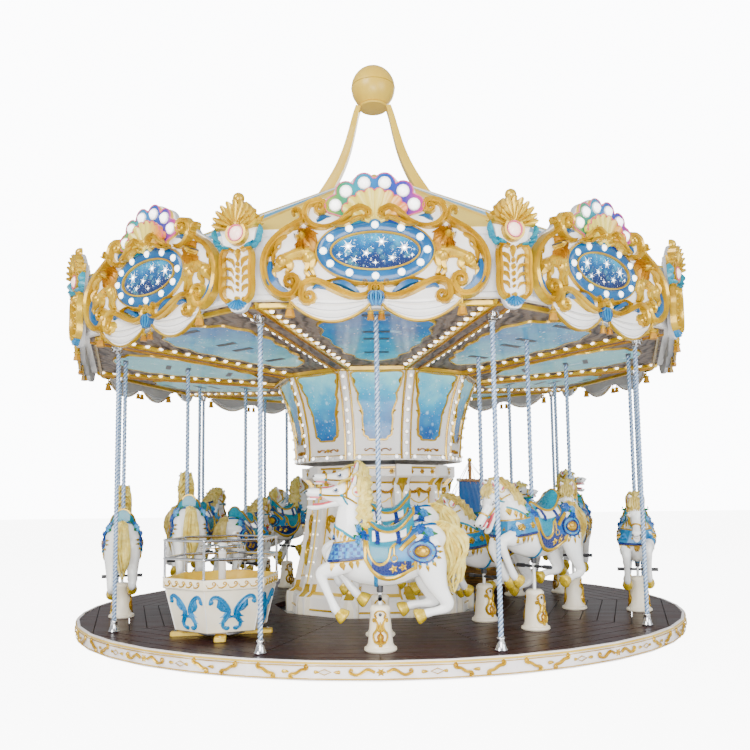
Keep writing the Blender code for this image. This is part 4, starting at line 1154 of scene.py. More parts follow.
def corner_shield():
    made = Shape()
    spine = [(0.0, 2.80), (0.06, 2.815), (0.10, 2.90), (0.105, 3.00), (0.085, 3.10), (0.11, 3.22), (0.13, 3.30),
             (0.15, 3.42), (0.17, 3.50), (0.10, 3.62), (0.0, 3.70)]
    outline = spline(spine + [(-x, z) for x, z in reversed(spine[1:-1])], 2, True)
    made.add(plate(outline, -0.040, 0.0, "white", "grey", 0.005))
    made.add(fan((0.0, 3.44), 0.05, 0.195, -1.45, 1.45, 11, 0.055, "gold", 0.004, 0.16, 0.22, dish=0.02))
    made.add(fan((0.0, 3.46), 0.03, 0.130, -1.35, 1.35, 9, 0.045, "gold", 0.030, 0.14, 0.25))
    made.add(band(oval(0.079, 0.079, 20, (0, 3.417)), 0.016, 0.060, "gold", closed=True))
    made.add(band(oval(0.064, 0.064, 20, (0, 3.417)), 0.004, 0.066, "pink", closed=True))
    made.add(dome((0, 3.417), 0.062, 0.058, "blush", 0.02, 16, 4))
    made.add(dome((0, 3.705), 0.048, 0.060, "gold", -0.012, 16, 4, 1.1))
    made.add(dome((0, 3.650), 0.036, 0.056, "gold", -0.005, 12, 3))
    side = Shape()
    side.add(scroll([(0.030, 3.50), (0.075, 3.525), (0.110, 3.505)], 0.013, "gold", 0.070,
                    ((1, 0.016, 0.7), (-1, 0.018, 0.8)), steps=4))
    side.add(leaf((0.14, 3.50), (0.225, 3.545), 0.026, "gold", 0.045, bend=0.12))
    side.add(leaf((0.13, 3.47), (0.225, 3.475), 0.018, "gold", 0.040))
    for k, (a, b) in enumerate((((0.10, 3.315), (0.19, 3.345)), ((0.13, 3.325), (0.205, 3.42)),
                                ((0.16, 3.36), (0.19, 3.485)), ((0.06, 3.305), (0.135, 3.355)))):
        side.add(leaf(a, b, 0.027, "turquoise", 0.050 + 0.006 * k, 0.006, bend=0.2))
    side.add(scroll([(0.035, 3.285), (0.085, 3.300), (0.120, 3.265), (0.128, 3.200), (0.122, 3.10),
                     (0.128, 3.00), (0.118, 2.925), (0.085, 2.885)], 0.024, "gold", 0.055,
                    (None, (-1, 0.018, 0.7)), taper=(0.7, 0.9)))
    side.add(leaf((0.105, 3.235), (0.030, 3.155), 0.024, "gold", 0.048, bend=0.2))
    side.add(leaf((0.112, 3.160), (0.036, 3.090), 0.022, "gold", 0.046, bend=0.2))
    side.add(leaf((0.112, 3.085), (0.034, 3.025), 0.022, "gold", 0.046, bend=0.2))
    side.add(leaf((0.105, 3.010), (0.034, 2.955), 0.020, "gold", 0.044, bend=0.2))
    side.add(leaf((0.125, 3.24), (0.150, 3.17), 0.014, "gold", 0.04, bend=0.2))
    side.add(leaf((0.125, 3.03), (0.152, 2.97), 0.014, "gold", 0.04, bend=0.2))
    side.add(leaf((0.045, 3.30), (0.150, 3.315), 0.016, "gold", 0.056, bend=0.15))
    made.add(side.both())
    made.add(leaf((0, 3.30), (0, 3.20), 0.030, "gold", 0.060))
    for z, size in ((3.180, 0.020), (3.130, 0.024), (3.075, 0.022), (3.022, 0.018), (2.975, 0.014)):
        made.add(dome((0, z), size * 0.8, 0.044, "gold", oval=1.35, sides=8))
    made.add(fan((0.0, 2.905), 0.012, 0.092, -1.15, 1.15, 7, 0.046, "blue_light", 0.004, 0.10).mapped(
        lambda x, y, z: (-x, 5.81 - y, z)))
    made.add(dome((0, 2.905), 0.022, 0.055, "gold"))
    return made


shield_mesh = corner_shield().mapped(on_shield).mesh("corner_shield")
for k in range(BAYS):
    put(f"corner_shield_{k + 1}", shield_mesh, azimuth=(k + 0.5) * BAY)

fascia = Shape()
rows = []
for r, z in ((CROWN - 0.06, FASCIA[0]), (CROWN + 0.004, FASCIA[0]), (CROWN + 0.004, FASCIA[0] + 0.035),
             (CROWN - 0.006, FASCIA[0] + 0.045), (CROWN - 0.006, FASCIA[1] - 0.05),
             (CROWN + 0.004, FASCIA[1] - 0.04), (CROWN + 0.004, FASCIA[1] + 0.015), (CROWN - 0.06, FASCIA[1] + 0.015)):
    rows.append([tuple(polar(r, (k + 0.5) * BAY, z)) for k in range(BAYS)])
rows.append(rows[0])
fascia.add(grid(rows, "white", True))
bracket = Shape()
for z in (3.05, 3.32):
    bracket.add(plate([(-0.05, z - 0.03), (0.05, z - 0.03), (0.05, z + 0.03), (-0.05, z + 0.03)], -0.062, -0.038,
                      "steel"))
fascia.add(*[bracket.mapped(on_shield).moved(turn=(k + 0.5) * BAY) for k in range(BAYS)])
put("crown_fascia", fascia.mesh("crown_fascia"), replaces=["crown_frame"])


# Roof battens, arches and globe

battens = Shape()
for k in range(BAYS):
    for turn, high, low, width in (((k + 0.5) * BAY, 0.50, 3.395, 0.022), (k * BAY, 0.55, 3.395 * COS, 0.010)):
        slope = 1.0 if width > 0.02 else COS
        rows = []
        for r in np.linspace(high, low, 5):
            z = roof_height(r / slope)
            rows.append([(x, -r, z + h) for x, h in ((-width, -0.004), (-width * 0.8, 0.010), (0, 0.016),
                                                     (width * 0.8, 0.010), (width, -0.004))])
        strip = grid(rows, "gold_pale" if width > 0.02 else "white", True, True)
        battens.add(strip.moved(turn=turn))
put("roof_battens", battens.mesh("roof_battens"))

arch_path = spline([(0.66, roof_height(0.66) + 0.01), (0.52, 5.20), (0.41, 5.41), (0.33, 5.62), (0.27, 5.84),
                    (0.22, 6.05), (0.185, 6.17)], 6)
arches = Shape()
for side in (1, -1):
    path = [(side * x, z) for x, z in arch_path]
    run = np.gradient(np.array(path), axis=0)
    run /= np.linalg.norm(run, axis=1)[:, None]
    rows = []
    for (x, z), (dx, dz) in zip(path, run):
        nx, nz = side * dz, -side * dx
        row = []
        wide = 1.0 + 1.1 * (6.17 - abs(z)) / 1.1
        for y, d in ((-0.072, -0.030), (-0.072, 0.022), (-0.060, 0.033), (-0.036, 0.026), (0.036, 0.026),
                     (0.060, 0.033), (0.072, 0.022), (0.072, -0.030)):
            row.append((x + nx * d * wide, y, z + nz * d * wide))
        rows.append(row if side == 1 else row[::-1])
    arches.add(grid(rows, "finial", True, True))
arches.add(lathe([(0.05, 6.150), (0.170, 6.158), (0.178, 6.170), (0.170, 6.186), (0.150, 6.192), (0.145, 6.199),
                  (0.05, 6.200)], "finial", 28))
put("finial_arches", arches.mesh("finial_arches"), replaces=["finial_ribs"])
globe = lathe([(0.158, 6.201)] + [(0.27 * math.cos(a), 6.42 + 0.268 * math.sin(a))
                                  for a in np.linspace(-0.93, 1.50, 16)], "finial", 32)
seam = ring(0.2695, 0.004, "gold", 32, 4).moved(z=6.42)
put("finial_globe", globe.add(seam).mesh("finial_globe", 50), replaces=["finial_ball"])


# Ceiling: mouldings along the corner lines, clouds between them

def ceiling_corner():
    """Beam with gilt edges and rows of lamps, on the corner line between two bays."""
    made = Shape()
    tilt = lambda r: ceiling_height(r)
    for x0, width, drop, paint in ((0.0, 0.075, 0.030, "carving"), (-0.085, 0.012, 0.040, "gold"),
                                   (0.085, 0.012, 0.040, "gold"), (-0.060, 0.006, 0.042, "gold_deep"),
                                   (0.060, 0.006, 0.042, "gold_deep")):
        rows = []
        for r in np.linspace(1.21, 3.32, 6):
            z = tilt(r) - 0.0005
            rows.append([(x0 + a * width, -r, z - h * drop) for a, h in
                         ((-1, 0), (-0.8, 0.8), (0, 1), (0.8, 0.8), (1, 0))])
        made.add(grid([row[::-1] for row in rows], paint, True, True))
    count = 15
    for i in range(count):
        r = 1.33 + (3.24 - 1.33) * i / (count - 1)
        for x in (-0.120, 0.120):
            lamp = dome((0, 0), 0.024, 0.022, "bulb", 0.006, 7).add(
                dome((0, 0), 0.030, 0.010, "gold_pale", 0.0, 7, 1))
            made.add(lamp.mapped(lambda a, b, c: (x + a, -r - b, tilt(r) - c)))
    return made


def ceiling_bay():
    """Cloud panel with its gilt edge, dark plates painted as the shade inside the slots, and side mouldings of one bay.
    """
    made = Shape()
    ends = [(0.0, 3.14), (0.20, 3.10), (0.30, 3.02), (0.44, 2.98), (0.50, 2.86), (0.60, 2.74), (0.58, 2.60),
            (0.66, 2.44), (0.60, 2.30), (0.62, 2.12), (0.54, 1.98), (0.56, 1.84), (0.42, 1.74), (0.40, 1.62),
            (0.24, 1.56), (0.0, 1.50)]
    closed = spline(ends + [(-x, y) for x, y in reversed(ends[1:-1])], 3, True)
    flat = [(x, y) for x, y in closed]
    cloud = plate(flat, 0.001, 0.014, "cloud", "gold", 0.004)
    made.add(cloud.mapped(on_ceiling))
    rim = band([(x * y * SIN, y) for x, y in closed], 0.012, 0.022, "gold", closed=True)
    made.add(rim.mapped(lambda x, y, z: (x, -y * COS, ceiling_height(y) - z)))
    # Painted shade: dark plates stand for the shade inside the slots.
    for radius in (1.75, 2.20, 2.41, 2.86):
        corner = radius / COS
        slot = plate([(-0.24, corner - 0.030), (0.24, corner - 0.030), (0.24, corner + 0.030),
                      (-0.24, corner + 0.030)], 0.001, 0.017, "socket")
        made.add(slot.mapped(lambda x, y, z: (x, y * COS, z)).mapped(
            lambda x, y, z: (x * 0.5, -y, ceiling_height(y / COS) - z)))
    for r, drop in ((1.225, 0.045), (3.30, 0.040)):
        rows = []
        for x in np.linspace(-0.98, 0.98, 5):
            rows.append([(x * (r + a * 0.018) * SIN, -(r + a * 0.018) * COS, ceiling_height(r) - 0.001 - h * drop)
                         for a, h in ((-1, 0), (-0.8, 0.8), (0, 1), (0.8, 0.8), (1, 0))])
        made.add(grid(rows, "gold", True, True))
    for x in (-1, 1):
        for i in range(9):
            made.add(leaf((0, 0), (0.0, 0.10), 0.030, "carving", 0.020, bend=0.2 * x).mapped(
                lambda a, b, c: (x * (1.45 + 0.205 * i) * SIN * 0.80 + a,
                                 -(1.45 + 0.205 * i) * COS - b, ceiling_height(1.45 + 0.205 * i) - c)))
    return made


ceiling_trim = Shape()
bay_trim, corner_trim = ceiling_bay(), ceiling_corner()
for k in range(BAYS):
    ceiling_trim.add(bay_trim.moved(turn=k * BAY), corner_trim.moved(turn=(k + 0.5) * BAY))
put("ceiling_ornament", ceiling_trim.mesh("ceiling_ornament"))


# Neck: blue pictures in gilt frames, white corner strips

def neck_bay():
    made = Shape()
    half = [(0.0, 2.685), (0.36, 2.690), (0.66, 2.690), (0.78, 2.665), (0.74, 2.60), (0.72, 2.55), (0.62, 2.47),
            (0.64, 2.40), (0.56, 2.33), (0.50, 2.26), (0.52, 2.20), (0.50, 2.10), (0.48, 2.035), (0.36, 2.015),
            (0.30, 1.985), (0.0, 1.985)]
    closed = spline(half + [(-x, z) for x, z in reversed(half[1:-1])], 3, True)
    picture = grid([[(x * v, 2.33 + (z - 2.33) * v, 0.010) for x, z in closed] for v in (1.0, 0.75, 0.5, 0.25)],
                   "neck_picture", True, True)
    picture.faces.pop(-2)
    picture.paints.pop(-2)
    made.add(picture.mapped(on_neck))
    edge = band([(x * 0.30, z) for x, z in closed], 0.0115, 0.026, "gold", closed=True)
    made.add(edge.mapped(lambda x, y, z: on_neck(x / 0.30, y, z)))
    flat = Shape()
    for x, z, tip in ((0.205, 2.50, (0.185, 2.43)), (0.185, 2.30, (0.160, 2.22)), (0.165, 2.10, (0.145, 2.03)),
                      (0.23, 2.64, (0.215, 2.55))):
        flat.add(leaf((x, z), tip, 0.016, "gold", 0.030, bend=0.2))
    flat.add(scroll([(0.045, 1.882), (0.085, 1.890), (0.120, 1.870)], 0.0075, "gold_deep", 0.018,
                    ((1, 0.014, 0.7), (1, 0.016, 0.8))))
    flat = flat.both()
    for k in range(5):
        a = math.pi * (0.1 + 0.2 * k)
        flat.add(leaf((0, 1.868), (0.038 * math.cos(a), 1.868 + 0.034 * math.sin(a)), 0.011, "gold", 0.022))
    flat.add(dome((0, 1.866), 0.012, 0.022, "gold_deep"))
    made.add(flat.mapped(lambda x, y, z: on_neck(x / 0.30, y, z)))
    # Scalloped apron below with lamps
    apron = plate([(-0.94, 1.805)] + [(x, 1.765 + 0.030 * (1 - abs(math.cos(math.pi * 1.5 * x))))
                                      for x in np.linspace(-0.94, 0.94, 25)] + [(0.94, 1.805)],
                  -0.002, 0.014, "white", bevel=0.003)
    made.add(apron.mapped(on_neck))
    for x in (-0.66, 0.0, 0.66):
        made.add(bulb((x * 0.30, 1.80), 0.022, 0.012, "socket").mapped(lambda a, b, c: on_neck(a / 0.30, b, c)))
    made.add(band([(x, 1.822) for x in np.linspace(-0.93, 0.93, 5)], 0.007, 0.012, "gold").mapped(on_neck))
    return made


def corner_strip(table, low, high, half, out, paint, steps, lamps, lift=0.0):
    """Strip up a corner of a ten-sided surface, gilt at both edges."""
    made = Shape()
    heights = np.linspace(low, high, steps)
    rows, left, right = [], [], []
    for z in heights:
        r = between(table, z)
        rows.append([(x, -(r - abs(x) * TAN + d), z) for x, d in
                     ((-half, -0.006), (-half, out), (-half * 0.5, out + 0.002), (0, out + 0.004),
                      (half * 0.5, out + 0.002), (half, out), (half, -0.006))])
        left.append((-half, -(r - half * TAN + out), z))
        right.append((half, -(r - half * TAN + out), z))
    made.add(grid(rows, paint, True, True))
    for path in (left, right):
        made.add(rod(path, 0.010, "gold", 5))
        made.add(rod([(x * 0.72, y - 0.004, z) for x, y, z in path], 0.0045, "gold_deep", 4))
    for i in range(lamps):
        z = low + (high - low) * (i + 0.5) / lamps
        r = between(table, z)
        lamp = dome((0, 0), 0.019, 0.020, "bulb", 0.004, 7).add(dome((0, 0), 0.025, 0.008, "gold", 0.0, 7, 1))
        made.add(lamp.mapped(lambda a, b, c: (a, -(r + out + 0.003 + c), z + b)))
    return made


neck_trim = Shape()
neck_part = neck_bay()
neck_edge = corner_strip(NECK, 1.775, 2.70, 0.052, 0.014, "white", 11, 8)
for k in range(BAYS):
    neck_trim.add(neck_part.moved(turn=k * BAY), neck_edge.moved(turn=(k + 0.5) * BAY))
put("neck_ornament", neck_trim.mesh("neck_ornament"))


# Centre housing: garlands, acanthus and fluted pilasters

def housing_bay():
    made = Shape()
    scale = 0.25
    flat = Shape()
    side = Shape()
    side.add(scroll([(0.0, 0.62), (0.060, 0.66), (0.115, 0.74), (0.100, 0.86), (0.045, 0.90)], 0.020, "gold",
                    0.034, (None, (1, 0.034, 1.0)), taper=(0.6, 1.0)))
    side.add(scroll([(0.02, 0.95), (0.075, 1.00), (0.125, 1.08), (0.095, 1.17), (0.050, 1.15)], 0.017, "gold",
                    0.034, (None, (1, 0.026, 1.0)), taper=(0.6, 1.0)))
    side.add(leaf((0.085, 0.72), (0.150, 0.84), 0.022, "gold", 0.03, bend=-0.2))
    side.add(leaf((0.105, 1.06), (0.150, 1.16), 0.018, "gold", 0.03, bend=-0.2))
    side.add(leaf((0.030, 0.93), (0.110, 0.95), 0.018, "gold", 0.03, bend=0.2))
    side.add(scroll([(0.0, 1.465), (0.050, 1.430), (0.110, 1.425), (0.165, 1.470), (0.185, 1.505)], 0.016, "gold",
                    0.036, (None, (1, 0.014, 0.7)), taper=(1.0, 0.7)))
    for k in range(5):
        x = 0.020 + 0.033 * k
        side.add(dome((x, 1.452 - 0.020 * math.sin(math.pi * k / 5)), 0.013, 0.040, "gold_deep"))
    side.add(leaf((0.155, 1.47), (0.150, 1.36), 0.018, "gold", 0.03, bend=0.1))
    flat.add(side.both())
    flat.add(leaf((0, 0.86), (0, 1.02), 0.034, "gold", 0.042), leaf((0, 1.08), (0, 1.24), 0.028, "gold", 0.036),
             leaf((0, 0.82), (0, 0.68), 0.026, "gold", 0.036), dome((0, 0.90), 0.036, 0.045, "gold_deep"))
    flat.add(leaf((0, 1.47), (0, 1.36), 0.026, "gold", 0.040))
    made.add(flat.mapped(lambda x, y, z: on_housing(x / scale, y, z)))
    frame_line = spline([(-0.60, 0.55), (-0.52, 0.50), (0.0, 0.50), (0.52, 0.50), (0.60, 0.55), (0.58, 1.30),
                         (0.50, 1.36), (0.30, 1.33), (0.0, 1.31), (-0.30, 1.33), (-0.50, 1.36), (-0.58, 1.30)],
                        4, True)
    rim = band([(x * scale, y) for x, y in frame_line], 0.008, 0.014, "gold_pale", closed=True)
    made.add(rim.mapped(lambda x, y, z: on_housing(x / scale, y, z)))
    for z, width, lift, paint in ((1.53, 0.012, 0.016, "gold"), (1.605, 0.010, 0.016, "white"),
                                  (1.690, 0.014, 0.020, "gold"), (0.345, 0.016, 0.022, "gold_pale"),
                                  (0.175, 0.012, 0.014, "gold")):
        made.add(band([(x, z) for x in np.linspace(-0.97, 0.97, 3)], width, lift, paint).mapped(on_housing))
    for x in (-0.55, 0.0, 0.55):
        rosette = Shape()
        for k in range(6):
            a = TAU * k / 6
            rosette.add(dome((x * scale + 0.019 * math.cos(a), 1.648 + 0.019 * math.sin(a)), 0.012, 0.012, "gold",
                             sides=6, rings=1))
        rosette.add(dome((x * scale, 1.648), 0.011, 0.018, "gold_deep", sides=6))
        made.add(rosette.mapped(lambda a, b, c: on_housing(a / scale, b, c)))
    return made


def pilaster():
    """Fluted pilaster with a gilt foot, cap and lamps, on a corner."""
    made = Shape()
    for x, width, paint in ((-0.062, 0.014, "butter"), (-0.031, 0.012, "pearl"), (0.0, 0.013, "gold_pale"),
                            (0.031, 0.012, "pearl"), (0.062, 0.014, "butter")):
        path = []
        for z in np.linspace(0.44, 1.50, 6):
            r = between(HOUSING, z) + 0.036
            path.append((x, -(r - abs(x) * TAN), z))
        made.add(rod(path, width, paint, 6))
    for low, high, half, out, paint in ((0.31, 0.44, 0.094, 0.050, "gold"), (1.50, 1.58, 0.094, 0.050, "gold"),
                                        (0.085, 0.31, 0.100, 0.052, "cream")):
        rows = []
        for z in np.linspace(low, high, 4):
            r = between(HOUSING, z)
            rows.append([(x, -(r - abs(x) * TAN + d), z) for x, d in
                         ((-half, 0.0), (-half, out), (0, out + 0.006), (half, out), (half, 0.0))])
        made.add(grid(rows, paint, True, True))
    for i in range(7):
        z = 0.52 + 0.15 * i
        r = between(HOUSING, z) + 0.048
        for x in (-0.047, 0.047):
            made.add(dome((0, 0), 0.012, 0.014, "bulb", 0.0, 6, 2).mapped(
                lambda a, b, c: (x + a, -(r - abs(x) * TAN + c), z + b)))
    top = leaf((0, 1.57), (0, 1.42), 0.05, "gold", 0.03).mapped(
        lambda x, y, z: (x, -(between(HOUSING, y) + 0.048 + z), y))
    return made.add(top)


housing_trim = Shape()
bay_part, corner_part = housing_bay(), pilaster()
for k in range(BAYS):
    housing_trim.add(bay_part.moved(turn=k * BAY), corner_part.moved(turn=(k + 0.5) * BAY))
put("housing_ornament", housing_trim.mesh("housing_ornament"), "base")


# Horses

def loft(stations, sides=14, steps=4):
    """Rounded limb through (x, y, z, half width, half height) stations."""
    rows = []
    path = spline(stations, steps)
    for i, (x, y, z, wide, high) in enumerate(path):
        a, b = path[max(i - 1, 0)], path[min(i + 1, len(path) - 1)]
        run = Vector((b[0] - a[0], b[1] - a[1], b[2] - a[2])).normalized()
        side = (Vector((0, 1, 0)) - run * run.y).normalized()
        up = run.cross(side)
        centre = Vector((x, y, z))
        rows.append([tuple(centre + side * (max(wide, 0.004) * math.cos(TAU * k / sides))
                           + up * (max(high, 0.004) * math.sin(TAU * k / sides))) for k in range(sides)])
    return grid(rows, "pearl", True, True)


def lump(x, y, z, rx, ry, rz, lean=0.0):
    """Muscle: an ellipsoid, leaning forward by an angle."""
    c, s = math.cos(lean), math.sin(lean)
    return ball(1.0, "pearl", 12, 8).mapped(
        lambda a, b, h: (x + a * rx * c + h * rz * s, y + b * ry, z - a * rx * s + h * rz * c))


def lock(points, width, paint, flat=0.55, sides=6, steps=3):
    """Tapering curl of hair."""
    path = spline(points, steps)
    radii = [width * (0.25 + 0.95 * math.sin(math.pi * min(1.0, 0.18 + 0.82 * i / (len(path) - 1))))
             for i in range(len(path))]
    return rod(path, radii, paint, sides, flat)


def flanked(shape):
    """The shape and its mirror image on the horse's other side."""
    return Shape().add(shape, shape.mapped(lambda x, y, z: (x, -y, z)))


LEGS = {
    "prancer": (
        (((0.20, 0.085, 0.80, 0.07, 0.12), (0.27, 0.10, 0.72, 0.066, 0.10), (0.36, 0.105, 0.665, 0.054, 0.070),
          (0.440, 0.105, 0.640, 0.046, 0.052), (0.462, 0.105, 0.600, 0.038, 0.040), (0.425, 0.105, 0.505, 0.027, 0.031),
          (0.385, 0.105, 0.415, 0.025, 0.029), (0.355, 0.105, 0.350, 0.031, 0.035), (0.325, 0.105, 0.315, 0.028, 0.031)),
         (0.330, 0.320), (0.275, 0.275)),
        (((0.20, -0.085, 0.82, 0.07, 0.12), (0.28, -0.10, 0.78, 0.062, 0.09), (0.36, -0.105, 0.765, 0.050, 0.060),
          (0.395, -0.105, 0.735, 0.044, 0.048), (0.345, -0.105, 0.640, 0.029, 0.033), (0.255, -0.105, 0.520, 0.026, 0.029),
          (0.195, -0.105, 0.445, 0.031, 0.034), (0.165, -0.105, 0.415, 0.027, 0.030)),
         (0.168, 0.418), (0.105, 0.375)),
        (((-0.34, 0.08, 0.84, 0.09, 0.15), (-0.40, 0.095, 0.70, 0.082, 0.13), (-0.43, 0.10, 0.585, 0.062, 0.10),
          (-0.475, 0.10, 0.475, 0.046, 0.066), (-0.535, 0.10, 0.375, 0.038, 0.046), (-0.500, 0.10, 0.335, 0.032, 0.036),
          (-0.430, 0.10, 0.318, 0.026, 0.028), (-0.375, 0.10, 0.305, 0.030, 0.032), (-0.345, 0.10, 0.298, 0.028, 0.030)),
         (-0.350, 0.300), (-0.285, 0.272)),
        (((-0.34, -0.08, 0.84, 0.09, 0.15), (-0.37, -0.095, 0.70, 0.082, 0.13), (-0.37, -0.10, 0.585, 0.062, 0.10),
          (-0.40, -0.10, 0.475, 0.046, 0.066), (-0.450, -0.10, 0.385, 0.038, 0.046), (-0.405, -0.10, 0.355, 0.032, 0.036),
          (-0.310, -0.10, 0.350, 0.026, 0.028), (-0.250, -0.10, 0.340, 0.030, 0.032), (-0.215, -0.10, 0.330, 0.028, 0.030)),
         (-0.222, 0.333), (-0.160, 0.302))),
}
LEGS["galloper"] = (
    (((0.20, 0.085, 0.80, 0.07, 0.12), (0.29, 0.10, 0.735, 0.064, 0.095), (0.39, 0.105, 0.70, 0.052, 0.066),
      (0.475, 0.105, 0.685, 0.045, 0.050), (0.505, 0.105, 0.640, 0.037, 0.040), (0.460, 0.105, 0.545, 0.027, 0.031),
      (0.410, 0.105, 0.450, 0.025, 0.029), (0.375, 0.105, 0.385, 0.031, 0.035), (0.345, 0.105, 0.350, 0.028, 0.031)),
     (0.350, 0.355), (0.292, 0.312)),
    (((0.20, -0.085, 0.80, 0.07, 0.12), (0.28, -0.10, 0.71, 0.062, 0.09), (0.36, -0.105, 0.65, 0.050, 0.060),
      (0.400, -0.105, 0.600, 0.044, 0.048), (0.370, -0.105, 0.520, 0.029, 0.033), (0.310, -0.105, 0.420, 0.026, 0.029),
      (0.270, -0.105, 0.345, 0.031, 0.034), (0.240, -0.105, 0.315, 0.027, 0.030)),
     (0.246, 0.320), (0.185, 0.278)),
) + LEGS["prancer"][2:]

TORSO = ((-0.505, 0, 0.80, 0.05, 0.07), (-0.47, 0, 0.815, 0.115, 0.145), (-0.38, 0, 0.825, 0.155, 0.195),
         (-0.25, 0, 0.775, 0.160, 0.205), (-0.10, 0, 0.735, 0.165, 0.222), (0.05, 0, 0.735, 0.165, 0.225),
         (0.18, 0, 0.775, 0.150, 0.222), (0.28, 0, 0.810, 0.120, 0.180), (0.345, 0, 0.835, 0.070, 0.100))
NECKS = {
    "prancer": ((0.17, 0, 0.84, 0.125, 0.185), (0.215, 0, 0.93, 0.100, 0.150), (0.232, 0, 1.03, 0.078, 0.122),
                (0.228, 0, 1.13, 0.064, 0.102), (0.212, 0, 1.22, 0.056, 0.088), (0.200, 0, 1.28, 0.048, 0.070)),
    "galloper": ((0.17, 0, 0.84, 0.125, 0.190), (0.255, 0, 0.93, 0.100, 0.160), (0.335, 0, 1.02, 0.078, 0.130),
                 (0.405, 0, 1.085, 0.064, 0.104), (0.465, 0, 1.115, 0.055, 0.082), (0.505, 0, 1.115, 0.046, 0.064)),
}
HEADS = {"prancer": (0.205, 1.275, -0.02), "galloper": (0.475, 1.125, 0.92)}


def head():
    """Head along +X from its poll at the origin, mouth open: (solid part, painted details)."""
    solid = Shape().add(
        loft(((-0.055, 0, -0.012, 0.046, 0.056), (0.0, 0, -0.010, 0.060, 0.082), (0.075, 0, -0.024, 0.063, 0.090),
              (0.150, 0, -0.036, 0.053, 0.070), (0.225, 0, -0.032, 0.042, 0.048), (0.290, 0, -0.024, 0.038, 0.038),
              (0.345, 0, -0.022, 0.042, 0.038), (0.382, 0, -0.028, 0.030, 0.026))))
    for side in (1, -1):
        solid.add(lump(0.080, side * 0.032, -0.062, 0.070, 0.040, 0.068), lump(0.128, side * 0.044, 0.004, 0.036, 0.020, 0.024),
                  lump(0.352, side * 0.026, -0.014, 0.028, 0.020, 0.022), lump(0.20, side * 0.030, -0.020, 0.07, 0.016, 0.014))
    detail = Shape()
    jaw = loft(((0.085, 0, -0.092, 0.040, 0.038), (0.170, 0, -0.116, 0.034, 0.024), (0.260, 0, -0.138, 0.030, 0.018),
                (0.325, 0, -0.146, 0.031, 0.020), (0.362, 0, -0.142, 0.018, 0.013)), 10, 3)
    tongue = loft(((0.14, 0, -0.090, 0.024, 0.016), (0.24, 0, -0.112, 0.022, 0.011), (0.325, 0, -0.118, 0.017, 0.008)), 8, 2)
    detail.add(jaw, recoloured(tongue, "skin"))
    detail.add(plate([(0.10, -0.032), (0.350, -0.026), (0.350, 0.026), (0.10, 0.032)], -0.068, -0.055, "skin",
                     bevel=0.003))
    for z in (-0.074, -0.136):
        arc = [(0.300, 0.025), (0.340, 0.024), (0.362, 0.012), (0.366, 0.0), (0.362, -0.012), (0.340, -0.024),
               (0.300, -0.025)]
        detail.add(rod([(x, y, z) for x, y in arc], 0.009, "white", 5))
    side = Shape()
    side.add(ball(0.0165, "eye", 9, 6).moved(0.138, 0.058, 0.000))
    # Painted highlight: a small glowing white dot on the eye.
    side.add(ball(0.0045, "bulb", 5, 3).moved(0.146, 0.0735, 0.007))
    side.add(rod(spline([(0.108, 0.058, 0.002), (0.134, 0.068, 0.020), (0.168, 0.056, 0.002)], 3), 0.0065, "pearl", 5))
    side.add(rod(spline([(0.112, 0.060, -0.008), (0.138, 0.067, -0.018), (0.164, 0.056, -0.008)], 3), 0.004, "grey", 4))
    side.add(ball(0.012, "socket", 8, 5, 0.7).moved(0.372, 0.034, -0.012))
    ear = loft(((-0.008, 0.034, 0.050, 0.024, 0.020), (-0.014, 0.046, 0.080, 0.025, 0.018), (-0.018, 0.052, 0.102, 0.016, 0.012),
                (-0.020, 0.054, 0.118, 0.003, 0.003)), 8, 2)
    side.add(ear)
    side.add(leaf((0, 0), (0, 0.050), 0.018, "skin", 0.008, lobes=1).mapped(
        lambda x, y, z: (0.004 + x * 0.8 - y * 0.16, 0.054 + z + y * 0.20, 0.062 + y)))
    # Badge at the root of the ear
    side.add(dome((0, 0), 0.042, 0.020, "white", sides=12).add(dome((0, -0.006), 0.030, 0.026, "skin", oval=0.6, sides=10),
             band(oval(0.042, 0.042, 14), 0.006, 0.012, "gold_pale", closed=True)).mapped(
        lambda x, y, z: (-0.036 + x, 0.054 + z, -0.010 + y)))
    detail.add(flanked(side))
    return solid, detail


def hoof(start, end, y):
    """Gilt hoof from the pastern to its sole."""
    (x0, z0), (x1, z1) = start, end
    dx, dz = x1 - x0, z1 - z0
    return loft([(x0 + dx * t, y, z0 + dz * t, wide, high) for t, wide, high in (
        (-0.15, 0.028, 0.029), (0.10, 0.041, 0.044), (0.40, 0.047, 0.054), (0.75, 0.053, 0.062), (0.98, 0.052, 0.061),
        (1.10, 0.038, 0.046))], 12, 2)


def recoloured(shape, paint):
    shape.paints = [paint] * len(shape.paints)
    return shape


def sculpt(shape, faces, voxel=0.0100, smooth=4):
    """One smooth skin over overlapping lofts."""
    holder = bpy.data.objects.new("sculpt", shape.mesh("sculpt"))
    bpy.context.scene.collection.objects.link(holder)
    remesh = holder.modifiers.new("skin", "REMESH")
    remesh.mode = "VOXEL"
    remesh.voxel_size = voxel
    soften = holder.modifiers.new("soften", "SMOOTH")
    soften.factor, soften.iterations = 0.5, smooth
    bpy.context.view_layer.update()
    full = len(holder.evaluated_get(bpy.context.evaluated_depsgraph_get()).to_mesh().polygons) * 2
    fewer = holder.modifiers.new("fewer", "DECIMATE")
    fewer.ratio = faces / full
    bpy.context.view_layer.update()
    mesh = holder.evaluated_get(bpy.context.evaluated_depsgraph_get()).to_mesh()
    made = Shape([tuple(v.co) for v in mesh.vertices], [tuple(p.vertices) for p in mesh.polygons], "pearl")
    bpy.data.objects.remove(holder)
    return made


def skin_of(shape):
    return BVHTree.FromPolygons(shape.points, shape.faces)


